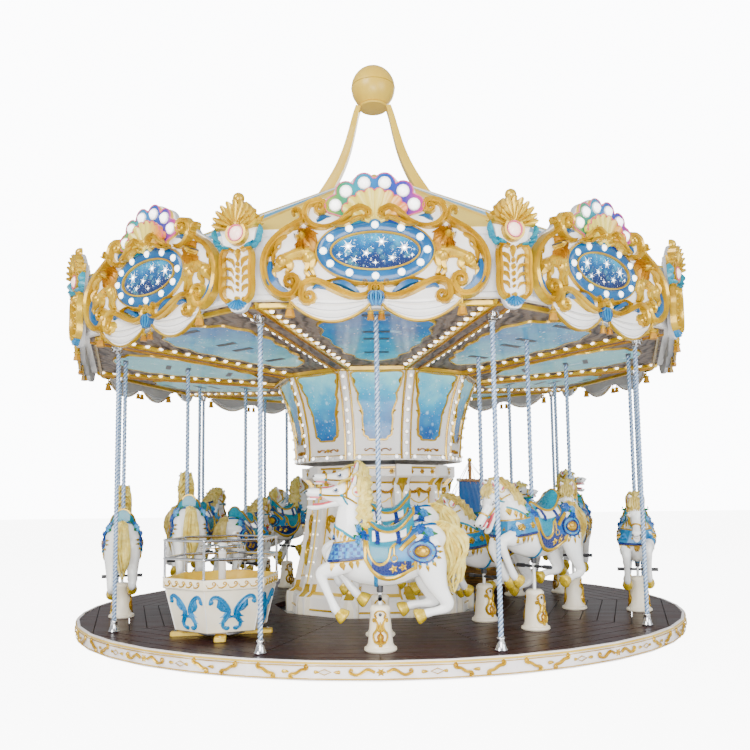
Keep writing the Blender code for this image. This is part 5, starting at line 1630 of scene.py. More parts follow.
def rose(x, y, size, paint, lift=0.0):
    """Open rose in relief."""
    made = Shape().add(dome((x, y), 0.78 * size, 0.34 * size, paint, lift, 7, 1))
    for count, reach, height, phase in ((5, 1.0, 0.52, 0.0), (4, 0.50, 0.86, 0.4)):
        for k in range(count):
            a = TAU * k / count + phase
            made.add(dome((x + 0.55 * reach * size * math.cos(a), y + 0.55 * reach * size * math.sin(a)),
                          size * (0.28 + 0.24 * reach), size * height, paint, lift, 5, 1, 0.85))
    return made


def trappings(kind, surface):
    """Saddle, cloths, straps and flowers laid over the horse's skin."""
    axis = 0.775

    def on_body(x, s, lift):
        """x forward, s over the back and down the near side in metres."""
        a = s / 0.20
        out = Vector((0, math.sin(a), math.cos(a)))
        far = Vector((x, 0, axis)) + out * 0.42
        hit = surface.ray_cast(far, -out, 0.42)[0]
        return tuple((hit or Vector((x, 0, axis)) + out * 0.15) + out * lift)

    def on_chest(x, y, lift):
        """x round the chest from its front towards the near side in metres, y the height."""
        a = x / 0.18
        out = Vector((math.cos(a), math.sin(a), 0))
        far = Vector((0.16, 0, y)) + out * 0.40
        hit = surface.ray_cast(far, -out, 0.40)[0]
        reach = (hit - Vector((0.16, 0, y))).length if hit else 0.12
        return tuple(Vector((0.16, 0, y)) + out * (min(reach, 0.240 + 0.040 * math.sin(a)) + lift))

    def cloth(xs, tops, bottoms, paint, lift, place, rows=8, columns=10):
        front = []
        for i in range(columns):
            u = i / (columns - 1)
            x = xs[0] + (xs[1] - xs[0]) * u
            low = float(np.interp(u, np.linspace(0, 1, len(tops)), tops))
            high = float(np.interp(u, np.linspace(0, 1, len(bottoms)), bottoms))
            row = [(x, low + (high - low) * j / (rows - 1), lift) for j in range(rows)]
            front.append([(x, low, -0.004)] + row + [(x, high, -0.004)])
        front = [[(p[0], p[1], -0.004) for p in front[0]]] + front + [[(p[0], p[1], -0.004) for p in front[-1]]]
        return grid(front, paint).mapped(place)

    made = Shape()
    pale = "blanket_pale" if kind == "prancer" else "blanket"
    strong = "blanket" if kind == "prancer" else "blanket_pale"
    seat_paint = "saddle" if kind == "prancer" else "turquoise"
    side = Shape()
    # Saddle cloth with its gilt border, an inner panel and flowers
    xs = (0.115, -0.285)
    bottoms = [0.36, 0.46, 0.50, 0.515, 0.515, 0.50, 0.47, 0.45]
    side.add(cloth(xs, [0.0], bottoms, pale, 0.010, on_body))
    hem = [(xs[0] - 0.004, s) for s in np.linspace(0.02, bottoms[0], 8)] + [
        (xs[0] + (xs[1] - xs[0]) * u, float(np.interp(u, np.linspace(0, 1, 8), bottoms)))
        for u in np.linspace(0.04, 0.96, 13)] + [(xs[1] + 0.004, s) for s in np.linspace(bottoms[-1], 0.385, 4)]
    side.add(band(hem, 0.016, 0.012, "gold", base=0.010).mapped(on_body))
    side.add(cloth((0.060, -0.250), [0.385, 0.385], [0.440, 0.482, 0.488, 0.478, 0.455], "blue_deep", 0.014, on_body, 4, 8))
    for x, s in ((-0.110, 0.440), (-0.185, 0.432)):
        for k in range(5):
            a = TAU * k / 5
            side.add(leaf((x, s), (x + 0.034 * math.cos(a), s + 0.034 * math.sin(a)), 0.014, "gold", 0.010, 0.015,
                          1).mapped(on_body))
        side.add(dome((x, s), 0.009, 0.012, "gold_deep", 0.018).mapped(on_body))
    for x, s in ((-0.26, 0.40), (-0.265, 0.35), (-0.20, 0.38)):
        side.add(leaf((x, s), (x, s + 0.03), 0.009, "gold", 0.006, 0.012, 1).mapped(on_body))
    # Saddle flap and girth
    flap = spline([(0.090, 0.06), (0.094, 0.20), (0.080, 0.32), (0.030, 0.395), (-0.030, 0.400), (-0.075, 0.350),
                   (-0.088, 0.270), (-0.130, 0.225), (-0.190, 0.190), (-0.245, 0.130), (-0.255, 0.06)], 2)
    centre_line = [(x, 0.04) for x in np.linspace(flap[0][0], flap[-1][0], len(flap))]
    rows = []
    for (x, s), (cx, cs) in zip(flap, centre_line):
        rows.append([(cx + (x - cx) * v, cs + (s - cs) * v, 0.024 - 0.010 * v ** 4) for v in np.linspace(0, 1, 6)]
                    + [(x, s, 0.004)])
    side.add(grid(rows, seat_paint).mapped(on_body))
    side.add(band(flap, 0.0110, 0.014, "gold", base=0.012).mapped(on_body))
    side.add(band([(0.03, s) for s in np.linspace(0.39, 0.66, 9)], 0.016, 0.006, "blue_light", base=0.004).mapped(
        on_body))
    # Stirrup leather and stirrup
    side.add(band([(-0.115, s) for s in np.linspace(0.24, 0.33, 5)], 0.008, 0.006, "gold", base=0.024).mapped(on_body))
    stirrup = Shape().add(ring(0.024, 0.005, "gold", 12, 5).mapped(lambda a, b, c: (-0.115 + a, 0.352 + b, 0.034 + c)))
    side.add(stirrup.mapped(on_body))
    # Blanket roll with dark ribbons behind the seat
    side.add(cloth((0.055, -0.215), [0.115, 0.10], [0.205, 0.215, 0.200, 0.165], "pearl", 0.034, on_body, 5, 8))
    for x in (0.015, -0.150):
        side.add(band([(x + 0.010, 0.085), (x, 0.14), (x - 0.006, 0.20), (x + 0.004, 0.235)], 0.020, 0.012,
                      "blue_deep", base=0.032).mapped(on_body))
    # Round badge over the haunch
    at = (-0.335, 0.300)
    for radius, width, lift, paint in ((0.112, 0.010, 0.016, "blue_deep"), (0.090, 0.020, 0.011, "blanket_pale"),
                                       (0.068, 0.009, 0.018, "blue_deep")):
        side.add(band(oval(radius, radius * 0.80, 18, at), width, lift, paint, base=0.006, closed=True).mapped(on_body))
    side.add(dome(at, 0.062, 0.024, "gold", 0.008, 12, 3, 0.80).mapped(on_body))
    for k in range(6):
        a = TAU * k / 6
        side.add(dome((at[0] + 0.034 * math.cos(a), at[1] + 0.027 * math.sin(a)), 0.010, 0.010, "gold_deep",
                      0.022, 5).mapped(on_body))
        a = math.pi * (0.95 + 0.21 * k)
        side.add(dome((at[0] + 0.091 * math.cos(a), at[1] - 0.072 * math.sin(a)), 0.008, 0.007, "gold", 0.014,
                      5).mapped(on_body))
    for k in range(7):
        a = -0.55 + 0.42 * k
        x, s = at[0] - 0.132 * math.sin(a) * 0.95, at[1] + 0.112 * math.cos(a)
        side.add(leaf((x, s), (x - 0.046 * math.sin(a), s + 0.052 * math.cos(a)), 0.017, "gold", 0.014, 0.004,
                      1).mapped(on_body))
        side.add(dome((x, s - 0.004), 0.011, 0.014, "turquoise" if k % 2 else "blue_light", 0.004, 6).mapped(on_body))
    # Gold strap and blue ribbon from the saddle to the croup
    side.add(band([(-0.165, 0.285), (-0.200, 0.240), (-0.245, 0.200), (-0.285, 0.165)], 0.020, 0.012, "gold",
                  base=0.010).mapped(on_body))
    side.add(band(spline([(-0.330, 0.120), (-0.285, 0.130), (-0.235, 0.150), (-0.190, 0.185), (-0.165, 0.215)], 2),
                  0.028, 0.012, "blue", base=0.012).mapped(on_body))
    # Crupper strap to the tail
    side.add(band([(-0.25, 0.085), (-0.33, 0.075), (-0.42, 0.05), (-0.46, 0.02)], 0.012, 0.008, "blue", base=0.004
                  ).mapped(on_body))
    # Chest band with a deep lower edge and leaf drops
    slope = lambda x: 0.782 + 0.12 * max(0.0, x - 0.02)
    path = [(x, slope(x)) for x in np.linspace(-0.004, 0.315, 12)]
    side.add(band(path, 0.070, 0.012, "check" if kind == "prancer" else strong, SQUARE, 0.010).mapped(on_chest))
    for shift, width, lift, paint in ((-0.070, 0.015, 0.024, "blue_deep"), (0.070, 0.009, 0.024, "gold"),
                                      (-0.088, 0.006, 0.020, "gold")):
        side.add(band([(x, y + shift) for x, y in path], width, lift, paint, base=0.004).mapped(on_chest))
    for k in range(6):
        x = 0.01 + 0.052 * k
        y = slope(x) - 0.088
        side.add(leaf((x, y), (x, y - 0.066), 0.020, "gold", 0.014, 0.006, 1).mapped(on_chest))
    if kind == "galloper":
        for k in range(5):
            x = 0.03 + 0.06 * k
            y = slope(x)
            side.add(rose(x, y, 0.034, "flower" if k % 2 else "gold", 0.014).mapped(on_chest))
    # Collar of leaves on the neck
    for k in range(6):
        x, y = 0.01 + 0.045 * k, 0.985 - 0.020 * k
        side.add(leaf((x, y), (x + 0.006, y - 0.070), 0.021, "gold", 0.014, 0.003, 1).mapped(on_chest))
    side.add(band([(x, 0.995 - 0.45 * x) for x in np.linspace(-0.004, 0.25, 10)], 0.009, 0.008, "turquoise",
                  base=0.003).mapped(on_chest))
    # Roses by the withers and on the croup
    blooms = ((0.280, 0.970, 0.044), (0.345, 0.915, 0.050), (0.275, 0.885, 0.040), (0.330, 1.030, 0.036))
    for i, (x, y, size) in enumerate(blooms):
        side.add(rose(x, y, size, "rose" if i % 2 else "flower", 0.012).mapped(on_chest))
        for a in (0.6, 2.7, 4.8):
            side.add(leaf((x, y), (x + size * 1.7 * math.cos(a + i), y + size * 1.7 * math.sin(a + i)), 0.026, "green",
                          0.018, 0.006, 1).mapped(on_chest))
    for i, (x, s, size) in enumerate(((-0.325, 0.115, 0.046), (-0.395, 0.140, 0.042), (-0.365, 0.200, 0.038))):
        side.add(rose(x, s, size, "flower" if i % 2 else "rose", 0.010).mapped(on_body))
        for a in (0.2, 2.3, 4.4):
            side.add(leaf((x, s), (x + size * 1.7 * math.cos(a + i), s + size * 1.7 * math.sin(a + i)), 0.026, "green",
                          0.018, 0.004, 1).mapped(on_body))
    made.add(flanked(side))
    # Seat between pommel and cantle
    rows, rims = [], ([], [])
    for x, low, high, half in ((0.105, 0.955, 1.030, 0.052), (0.090, 0.945, 1.062, 0.066), (0.060, 0.940, 1.045, 0.086),
                               (0.010, 0.935, 1.005, 0.112), (-0.050, 0.930, 0.985, 0.126),
                               (-0.110, 0.930, 0.988, 0.132), (-0.165, 0.930, 1.015, 0.130),
                               (-0.215, 0.935, 1.062, 0.118), (-0.255, 0.945, 1.110, 0.098),
                               (-0.278, 0.960, 1.132, 0.072)):
        row = [(x, half * v, high - 0.040 * abs(v) ** 2.2 - (0.0 if abs(v) < 0.99 else 0.006))
               for v in np.linspace(-1, 1, 7)]
        row += [(x, half * 0.9 * v, low) for v in (0.95, 0.4, -0.4, -0.95)]
        rows.append(row)
        for rim, end in zip(rims, (0, 6)):
            rim.append(row[end])
    made.add(grid(rows, seat_paint, True, True))
    for rim in rims:
        made.add(rod(spline(rim, 2), 0.011, "gold", 5))
    for row in (rows[0], rows[-1]):
        made.add(rod(spline(row[:7], 2), 0.011, "gold", 5))
    return made


def horse(kind):
    """White jumper with gilt bridle and blue trappings, its pole through the saddle."""
    body = Shape().add(loft(TORSO, 20), loft(NECKS[kind], 16))
    for stations, _, _ in LEGS[kind]:
        sign = 1 if stations[0][1] > 0 else -1
        joint = stations[4]
        body.add(lump(joint[0], joint[1], joint[2] + 0.012, 0.049, 0.041, 0.048))
        body.add(lump(stations[2][0], stations[2][1] + 0.014 * sign, stations[2][2], 0.066, 0.052, 0.074, 0.4))
        body.add(lump(stations[-2][0], stations[-2][1], stations[-2][2], 0.036, 0.035, 0.036))
        body.add(lump(stations[1][0], stations[1][1] + 0.012 * sign, stations[1][2] + 0.02, 0.070, 0.062, 0.100, 0.3))
    body.add(lump(-0.375, 0.085, 0.80, 0.115, 0.085, 0.170, 0.15), lump(-0.375, -0.085, 0.80, 0.115, 0.085, 0.170, 0.15),
             lump(0.215, 0.075, 0.800, 0.095, 0.070, 0.160, 0.30), lump(0.215, -0.075, 0.800, 0.095, 0.070, 0.160, 0.30),
             lump(0.305, 0.042, 0.800, 0.060, 0.055, 0.085), lump(0.305, -0.042, 0.800, 0.060, 0.055, 0.085))
    for stations, _, _ in LEGS[kind]:
        body.add(loft([(x, y, z, w + 0.004, h + 0.004) for x, y, z, w, h in stations], 12))
    solid, detail = head()
    hx, hz, nod = HEADS[kind]
    c, s = math.cos(nod), math.sin(nod)

    def set_head(x, y, z):
        return hx + x * c + z * s, y, hz - x * s + z * c

    body.add(solid.mapped(set_head))
    skin = sculpt(body, 6600)
    surface = skin_of(skin)
    made = Shape().add(skin, detail.mapped(set_head))
    for stations, start, end in LEGS[kind]:
        made.add(recoloured(hoof(start, end, stations[-1][1]), "hoof"))
    # Bridle
    bridle = Shape()
    for x, dz, wide, high, thick in ((0.262, -0.030, 0.043, 0.046, 0.0105), (0.052, -0.018, 0.068, 0.100, 0.0105)):
        loop = [(x, wide * math.cos(a), dz + high * math.sin(a)) for a in np.linspace(0, TAU, 15)]
        bridle.add(rod(loop, thick, "gold", 5))
    side = Shape()
    side.add(rod(spline([(0.262, 0.044, -0.040), (0.180, 0.060, -0.046), (0.085, 0.070, -0.040), (0.035, 0.062, 0.010),
                         (0.022, 0.042, 0.060)], 3), 0.011, "gold", 5, 0.7))
    side.add(rod(spline([(0.085, 0.070, -0.045), (0.060, 0.066, -0.090), (0.030, 0.040, -0.130), (0.020, 0.0, -0.140)],
                        3), 0.011, "turquoise", 5, 0.7))
    side.add(rod(spline([(0.085, 0.072, -0.045), (0.020, 0.078, -0.075), (-0.035, 0.080, -0.110)], 3), 0.011, "gold",
                 5, 0.7))
    side.add(ball(0.017, "turquoise", 8, 5, 0.7).moved(0.088, 0.074, -0.044))
    side.add(ball(0.015, "turquoise", 8, 5, 0.7).moved(0.262, 0.048, -0.042))
    made.add(bridle.add(flanked(side)).mapped(set_head))
    # Mane and forelock
    hair = "mane" if kind == "prancer" else "mane_olive"
    rng = random.Random(7)
    crest = {"prancer": ((0.185, 1.365), (0.130, 1.315), (0.112, 1.230), (0.105, 1.140), (0.090, 1.050),
                         (0.075, 0.975)),
             "galloper": ((0.500, 1.195), (0.420, 1.205), (0.335, 1.165), (0.255, 1.105), (0.175, 1.035),
                          (0.100, 0.975))}[kind]
    line = spline(crest, 3)
    for i, (x, z) in enumerate(line):
        after = line[min(i + 1, len(line) - 1)]
        before = line[max(i - 1, 0)]
        dx, dz = after[0] - before[0], after[1] - before[1]
        size = math.hypot(dx, dz)
        dx, dz = dx / size, dz / size
        for y in (-1, 1):
            fall = 0.120 + 0.040 * rng.random()
            sway = 0.030 * (1 if i % 2 else -1)
            points = []
            for t, out, inner in ((0.0, 0.004, -0.006), (0.2, 0.044, -0.020), (0.45, 0.064, 0.008), (0.7, 0.074, 0.040),
                                  (0.92, 0.080, 0.048), (1.0, 0.084, 0.030)):
                twist = sway * math.sin(TAU * 1.35 * t) * (0.4 + 0.6 * t)
                points.append((x - dz * (inner + twist) + dx * fall * t, y * out,
                               z + dx * (inner + twist) + dz * fall * t - 0.028 * t))
            made.add(lock(points, 0.0215, hair, 0.6, 4, 2))
        made.add(lock([(x - dx * 0.03, 0.0, z - dz * 0.03), (x + dz * 0.018, 0.008 * (-1) ** i, z - dx * 0.018 + 0.006),
                       (x + dx * 0.06, 0.0, z + dz * 0.06)], 0.026, hair, 0.9, 4, 2))
    for k in range(6):
        y = (k - 2.5) * 0.013
        made.add(lock([(-0.03, y, 0.085), (0.030, y * 1.4, 0.092), (0.078, y * 1.9 + 0.004, 0.074),
                       (0.108, y * 1.2, 0.050 + 0.014 * (k % 2)), (0.128, y * 1.9, 0.044)], 0.0135, hair, 0.6, 4,
                      2).mapped(set_head))
    # Tail
    tail = ((-0.455, 0.935), (-0.510, 0.990), (-0.570, 0.975), (-0.615, 0.890), (-0.628, 0.780), (-0.610, 0.665),
            (-0.580, 0.560), (-0.560, 0.450))
    for k in range(13):
        a = TAU * k / 13
        points = []
        for i, (x, z) in enumerate(tail):
            spread = (0.010, 0.026, 0.044, 0.060, 0.066, 0.062, 0.046, 0.018)[i]
            wiggle = 0.028 * math.sin(1.9 * i + a * 2)
            points.append((x + spread * math.cos(a) + wiggle, spread * 0.85 * math.sin(a) + 0.010 * math.sin(1.3 * i + a),
                           z + 0.35 * spread * math.cos(a)))
        if k % 3 == 0:
            points[-1] = (points[-1][0] + 0.050, points[-1][1], points[-1][2] + 0.055)
        made.add(lock(points, 0.0215, hair, 0.6, 4, 2))
    made.add(recoloured(loft(((-0.44, 0, 0.925, 0.03, 0.03), (-0.510, 0, 0.975, 0.032, 0.034),
                              (-0.570, 0, 0.945, 0.044, 0.042), (-0.612, 0, 0.850, 0.054, 0.050),
                              (-0.612, 0, 0.730, 0.052, 0.048), (-0.590, 0, 0.610, 0.024, 0.026)), 8, 2), hair))
    made.add(trappings(kind, surface))
    # Pole, guide rod and foot pegs
    made.add(twisted(1.02, 3.095, 0.0235, step=0.0144, pitch=0.1296))
    made.add(lathe([(0.024, 0.955), (0.040, 0.960), (0.042, 0.985), (0.030, 1.000), (0.028, 1.025), (0.010, 1.03)], "chrome", 16))
    made.add(lathe([(0.015, 0.131), (0.015, 0.50)], "pearl", 12),
             lathe([(0.016, 0.455), (0.026, 0.460), (0.028, 0.50), (0.024, 0.545)], "socket", 14))
    made.add(rod([(0, -0.205, 0.43), (0, 0.205, 0.43)], 0.014, "socket", 10))
    for y in (-1, 1):
        made.add(rod([(0, y * 0.120, 0.43), (0, y * 0.205, 0.43)], 0.019, "socket", 10))
    return made


kinds = {kind: horse(kind).mesh(f"horse_{kind}") for kind in ("prancer", "galloper")}
number = 0
for bay in sorted(HORSE_ROWS):
    for row, radius in enumerate(HORSE_ROWS[bay]):
        number += 1
        lift = HIGH_LIFT if (bay + row) % 2 else 0.0
        azimuth = bay * BAY
        kind = "prancer" if bay in (0, 3, 6, 8) else "galloper"
        put(f"painted_horse_{number:02d}", kinds[kind], f"horse_{number:02d}_body", azimuth + math.pi,
            polar(radius, azimuth, DECK_TOP + lift), [f"horse_{number:02d}"])


# Six-sided tub

TUB_AT = polar(TUB_RADIUS, TUB_BAY * BAY)
TUB_SIDE = math.pi / 3


def hexagon(radius, z):
    return [tuple(polar(radius, math.pi / 6 + k * TUB_SIDE, z)) for k in range(6)]


def tub_radius(z):
    return 0.41 + (0.506 - 0.41) * (z - 0.215) / (0.587 - 0.215) if z < 0.587 else 0.53


def on_tub(x, y, z):
    """x across a face in metres, y the height."""
    return x, -(tub_radius(y) * math.cos(TUB_SIDE / 2) + z), y


def tub_face():
    made = Shape()
    for k in range(5):
        x = -0.188 + 0.094 * k
        made.add(scroll([(x - 0.042, 0.618), (x - 0.012, 0.612), (x + 0.020, 0.628)], 0.0072, "gold", 0.009,
                        (None, (1, 0.0195, 1.1)), steps=2))
        made.add(leaf((x - 0.040, 0.620), (x - 0.058, 0.650), 0.006, "gold", 0.006, lobes=1))
    half = Shape()
    half.add(scroll([(-0.190, 0.480), (-0.186, 0.515), (-0.150, 0.530), (-0.092, 0.498), (-0.040, 0.430), (-0.032, 0.375),
                     (-0.072, 0.318), (-0.072, 0.270), (-0.040, 0.250)], 0.0225, "blue_light", 0.016,
                    ((-1, 0.010, 0.4), (1, 0.014, 0.6)), taper=(0.70, 0.65), steps=3))
    half.add(scroll([(-0.062, 0.310), (-0.040, 0.345), (0.0, 0.357)], 0.012, "blue_light", 0.012, steps=3))
    for root, tip, bend in (((-0.050, 0.462), (-0.102, 0.408), -0.2), ((-0.040, 0.410), (-0.108, 0.352), -0.2),
                            ((-0.060, 0.345), (-0.112, 0.300), -0.2), ((-0.072, 0.480), (-0.110, 0.452), -0.2)):
        half.add(leaf(root, tip, 0.024, "blue_light", 0.014, lobes=1, bend=bend))
    half.add(leaf((-0.118, 0.520), (-0.036, 0.385), 0.034, "blue_light", 0.020, lobes=1, bend=0.2))
    half.add(leaf((-0.030, 0.420), (-0.082, 0.290), 0.030, "blue_light", 0.018, lobes=1, bend=-0.1))
    half.add(dome((-0.188, 0.486), 0.024, 0.016, "blue_light"), dome((-0.044, 0.256), 0.021, 0.016, "blue_light"))
    made.add(half.both())
    return made


tub = Shape()
tub.add(grid([hexagon(0.055, 0.216), hexagon(0.40, 0.215), hexagon(0.412, 0.222), hexagon(0.5045, 0.582),
              hexagon(0.527, 0.592), hexagon(0.531, 0.60), hexagon(0.531, 0.672), hexagon(0.527, 0.680)], "cream", True))
tub.add(grid([hexagon(0.527, 0.680), hexagon(0.502, 0.684), hexagon(0.492, 0.676), hexagon(0.458, 0.50),
              hexagon(0.455, 0.472)], "butter", True))
tub.add(grid([hexagon(0.455, 0.472), hexagon(0.32, 0.470), hexagon(0.308, 0.455), hexagon(0.292, 0.245),
              hexagon(0.055, 0.243), hexagon(0.055, 0.216)], "gold_pale", True))
for corner in range(6):
    turn = math.pi / 6 + corner * TUB_SIDE
    tub.add(rod([polar(tub_radius(z) + 0.001, turn, z) for z in (0.222, 0.40, 0.58)], 0.005, "white", 5))
    tub.add(rod([polar(0.514, turn, 0.662), polar(0.514, turn, 1.012)], 0.0115, "chrome", 8))
    tub.add(lathe([(0.020, 0.0), (0.020, 0.006), (0.012, 0.010)], "chrome", 8).mapped(
        lambda x, y, z: (x + 0.514 * math.sin(turn), y - 0.514 * math.cos(turn), z + 0.680)))
    cushion = plate([(-0.185, 0.0), (0.185, 0.0), (0.150, 0.105), (-0.150, 0.105)], 0.0, 0.022, "butter", bevel=0.010)
    tub.add(cushion.mapped(lambda x, y, z: (x, -(0.390 - y), 0.470 + z)).moved(turn=corner * TUB_SIDE))
for z in (0.85, 1.01):
    ring_path = hexagon(0.516, z)
    for a, b in zip(ring_path, ring_path[1:] + ring_path[:1]):
        tub.add(rod([a, b], 0.0125, "chrome", 8))
    for point in ring_path:
        tub.add(ball(0.0150, "chrome", 8, 5).moved(*point))
face = tub_face().mapped(on_tub)
for k in range(6):
    tub.add(face.moved(turn=k * TUB_SIDE))
put("rocking_tub", tub.mesh("rocking_tub"), "tub_body", TUB_BAY * BAY, TUB_AT, ["tub"])

stand = Shape()
for turn in range(2):
    board = plate([(-0.455, -0.036), (-0.44, -0.05), (0.44, -0.05), (0.455, -0.036), (0.455, 0.036), (0.44, 0.05),
                   (-0.44, 0.05), (-0.455, 0.036)], 0.1515 + 0.004 * turn, 0.186 + 0.004 * turn, "butter", "gold_pale", 0.006)
    stand.add(board.moved(turn=math.pi / 4 + turn * math.pi / 2))
    for end in (-0.41, 0.41):
        stand.add(lathe([(0.014, 0.186), (0.014, 0.194), (0.008, 0.198)], "chrome", 8).moved(end).moved(
            turn=math.pi / 4 + turn * math.pi / 2))
stand.add(lathe([(0.215, 0.170), (0.221, 0.176), (0.221, 0.206), (0.215, 0.2135), (0.05, 0.2135)], "steel", 28))
stand.add(lathe([(0.046, 0.236), (0.046, 0.262), (0.034, 0.276), (0.034, 0.86), (0.040, 0.875), (0.034, 0.89),
                 (0.030, 0.925), (0.050, 0.935), (0.052, 0.955), (0.036, 0.968), (0.012, 0.972)], "pearl", 18))
stand.add(lathe([(0.0345, 0.905), (0.046, 0.910), (0.046, 0.922), (0.0345, 0.927)], "chrome", 16))
stand.add(ring(0.187, 0.0125, "chrome", 32, 8).moved(z=0.938))
for k in range(3):
    a = k * TAU / 3 + 0.3
    stand.add(rod([polar(0.045, a, 0.945), polar(0.110, a, 0.948), polar(0.180, a, 0.938)], 0.0085, "chrome", 6))
for k in range(24):
    stand.add(ball(0.0165, "chrome", 6, 4, 0.8).moved(*polar(0.187, k * TAU / 24, 0.938)))
put("tub_stand", stand.mesh("tub_stand"), "turntable", TUB_BAY * BAY, TUB_AT, ["tub_base"])


# Ship

SHIP_AT = polar(SHIP_RADIUS, SHIP_BAY * BAY)
SHIP_TURN = SHIP_BAY * BAY + math.pi
STATIONS = ((-0.72, 0.16, 0.66), (-0.60, 0.27, 0.58), (-0.25, 0.34, 0.50), (0.15, 0.34, 0.50), (0.50, 0.24, 0.58),
            (0.78, 0.06, 0.74))


def ship_line(x):
    """Half width and height of the gunwale over the deck at a place along the ship."""
    xs = [s[0] for s in STATIONS]
    return float(np.interp(x, xs, [s[1] for s in STATIONS])), float(np.interp(x, xs, [s[2] for s in STATIONS]))


def side_share(z, rise):
    """Share of the half width at a height over the deck."""
    if z < 0.25:
        return 0.45 + 0.45 * (max(z, 0.002) / 0.25) ** 0.75
    return 0.90 + 0.10 * (z - 0.25) / (rise - 0.25)


def on_hull(x, z, out):
    width, rise = ship_line(x)
    return x, -(width * side_share(z, rise) + out), DECK_TOP + z


hull = Shape()
rows = []
for x in np.linspace(-0.72, 0.78, 21):
    width, rise = ship_line(x)
    outer = [(width * side_share(z, rise), z) for z in (rise, rise * 0.85, rise * 0.68, 0.25, 0.17, 0.10, 0.045, 0.0025)]
    inner = [(max(0.004, w - 0.028), max(z, 0.040)) for w, z in outer[:-1]]
    section = outer + [(0.0, 0.0025)] + [(-w, z) for w, z in reversed(outer)]
    section += [(-w, z) for w, z in inner] + [(0.0, 0.040)] + [(w, z) for w, z in reversed(inner)]
    rows.append([(x, y, DECK_TOP + z) for y, z in section])
hull.add(grid(rows, "hull", True, True))
for x, thick in ((-0.722, 0.026), (0.756, 0.026)):
    width, rise = ship_line(x + thick / 2)
    outline = [(width * side_share(z, rise), z) for z in (rise, 0.25, 0.10, 0.0025)]
    outline += [(-y, z) for y, z in reversed(outline)]
    hull.add(plate(outline, 0.0, thick, "hull", bevel=0.003).mapped(lambda a, b, c: (x + c, a, DECK_TOP + b)))
for side in (1, -1):
    gunwale = [(x, side * (ship_line(x)[0] - 0.012), DECK_TOP + ship_line(x)[1] + 0.004) for x in np.linspace(-0.715, 0.775, 16)]
    hull.add(rod(gunwale, 0.018, "gold", 6, 0.8))
trim = Shape()
for height, width, paint in ((0.40, 0.012, "gold"), (0.13, 0.010, "gold_deep")):
    trim.add(band([(x, height + 0.08 * ((x + 0.05) / 0.7) ** 2) for x in np.linspace(-0.68, 0.74, 15)], width, 0.012, paint))
for k in range(9):
    x = -0.58 + 0.145 * k
    lift = 0.08 * ((x + 0.05) / 0.7) ** 2
    trim.add(scroll([(x - 0.055, 0.285 + lift), (x - 0.010, 0.262 + lift), (x + 0.030, 0.290 + lift)], 0.010, "gold", 0.014,
                    (None, (1, 0.030, 1.0)), steps=3))
    trim.add(leaf((x - 0.03, 0.275 + lift), (x - 0.055, 0.225 + lift), 0.016, "gold", 0.012, lobes=1))
near = trim.mapped(on_hull)
hull.add(near, near.mapped(lambda x, y, z: (x, -y, z)))
# Stem and stern scrolls
stem = scroll([(0.0, -0.42), (0.012, -0.20), (0.004, -0.02), (-0.028, 0.055), (-0.075, 0.045)], 0.026, "gold", 0.030,
              (None, (1, 0.026, 0.9)), taper=(0.7, 0.9))
for x, high, flip in ((0.772, 0.74, 1), (-0.712, 0.66, -1)):
    for face_side in (1, -1):
        hull.add(stem.mapped(lambda a, b, c: (x + flip * a * 0.9, -face_side * c, DECK_TOP + high + b)))
for x in (-0.42, 0.30):
    bench = plate([(x - 0.11, -0.285), (x + 0.11, -0.285), (x + 0.11, 0.285), (x - 0.11, 0.285)], DECK_TOP + 0.238,
                  DECK_TOP + 0.280, "timber", "gold_pale", 0.008)
    hull.add(bench)
    hull.add(plate([(x - 0.10, -0.25), (x + 0.10, -0.25), (x + 0.10, 0.25), (x - 0.10, 0.25)], DECK_TOP + 0.279,
                   DECK_TOP + 0.300, "blanket", bevel=0.009))
for k in range(6):
    y = -0.125 + 0.05 * k
    hull.add(plate([(-0.60, y - 0.022), (0.62, y - 0.022), (0.62, y + 0.022), (-0.60, y + 0.022)], DECK_TOP + 0.038,
                   DECK_TOP + 0.0405, "timber", bevel=0.001))
put("planked_ship_hull", hull.mesh("planked_ship_hull"), "turntable", SHIP_TURN, SHIP_AT, ["ship_hull"])

# Sail: a bellied sheet with soft upright folds, laced under the yard
YARD_X, YARD_Z, MAST_TOP = 0.045, DECK_TOP + 1.45, DECK_TOP + 1.75
columns, lengths = 28, 26
rows = []
for j in range(lengths + 1):
    down = j / lengths
    row = []
    for i in range(columns + 1):
        across = -1 + 2 * i / columns
        belly = 0.095 * (1 - across * across) * math.sin(math.pi * down * 0.85)
        fold = 0.0045 * math.cos(TAU * 3.5 * across) * (1.0 - 0.5 * down)
        row.append((YARD_X + belly + fold, 0.38 * across * (1 + 0.08 * down),
                    YARD_Z - 0.021 - 0.72 * down + 0.012 * across * across * down))
    rows.append(row)
sail = put("ship_sail_cloth", grid(rows, "sail").mesh("ship_sail_cloth"), "turntable", SHIP_TURN, SHIP_AT, ["ship_sail"])
hem = Shape()
hem.add(rod(rows[-1], 0.005, "blue_deep", 5), rod(rows[0], 0.005, "blue_deep", 5))
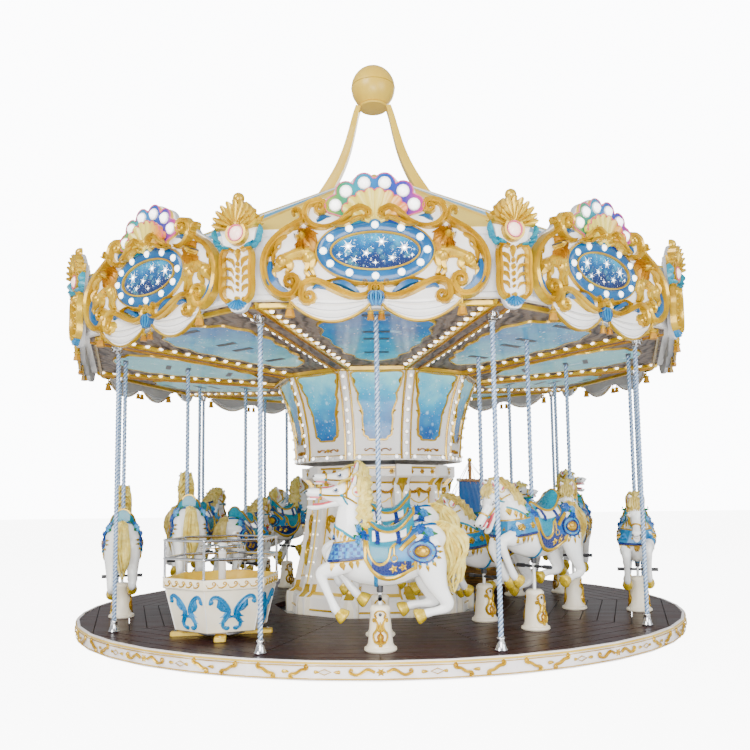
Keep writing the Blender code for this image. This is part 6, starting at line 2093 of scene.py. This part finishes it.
for end in (0, -1):
    hem.add(rod([row[end] for row in rows], 0.005, "blue_deep", 5))
hem_piece = put("sail_hem", hem.mesh("sail_hem"), "turntable", SHIP_TURN, SHIP_AT)

# Rigging, taut between its fixings
rig = Shape()
for y in (-0.36, -0.18, 0.0, 0.18, 0.36):
    rig.add(ring(0.0235, 0.004, "rope", 12, 5).mapped(lambda a, b, c: (YARD_X + a, y + c, YARD_Z + b)))
for side in (1, -1):
    width = ship_line(-0.45)[0] - 0.012
    corner = rows[-1][0 if side < 0 else -1]
    for start, end, paint, size in (
            ((0.0, 0.0, MAST_TOP - 0.03), (-0.45, side * width, DECK_TOP + ship_line(-0.45)[1]), "cream", 0.0045),
            ((0.0, 0.0, MAST_TOP - 0.03), (0.20, side * (ship_line(0.20)[0] - 0.012), DECK_TOP + ship_line(0.20)[1]), "rope",
             0.0045),
            ((YARD_X, side * 0.405, YARD_Z), (-0.30, side * (ship_line(-0.30)[0] - 0.012), DECK_TOP + ship_line(-0.30)[1]),
             "rope", 0.0035),
            (corner, (0.35, side * (ship_line(0.35)[0] - 0.012), DECK_TOP + ship_line(0.35)[1]), "cream", 0.0035),
            ((0.0, 0.0, MAST_TOP - 0.06), (YARD_X, side * 0.30, YARD_Z + 0.018), "cream", 0.0035)):
        rig.add(rod([start, end], size, paint, 6))
    rig.add(lathe([(0.020, 0.0), (0.026, 0.008), (0.024, 0.045), (0.010, 0.055)], "cream", 10).mapped(
        lambda a, b, c: (YARD_X + a, side * (0.380 + c), YARD_Z + b)))
for x, rise in ((0.765, 0.74), (-0.705, 0.66)):
    rig.add(rod([(0.0, 0.0, MAST_TOP - 0.02), (x, 0.0, DECK_TOP + rise)], 0.0045, "cream", 6))
rig.add(ball(0.034, "gold", 12, 8).moved(0, 0, MAST_TOP - 0.012))
rig.add(lathe([(0.052, DECK_TOP + 0.0415), (0.052, DECK_TOP + 0.085), (0.034, DECK_TOP + 0.10)], "gold", 14))
put("ship_rigging", rig.mesh("ship_rigging"), "turntable", SHIP_TURN, SHIP_AT)
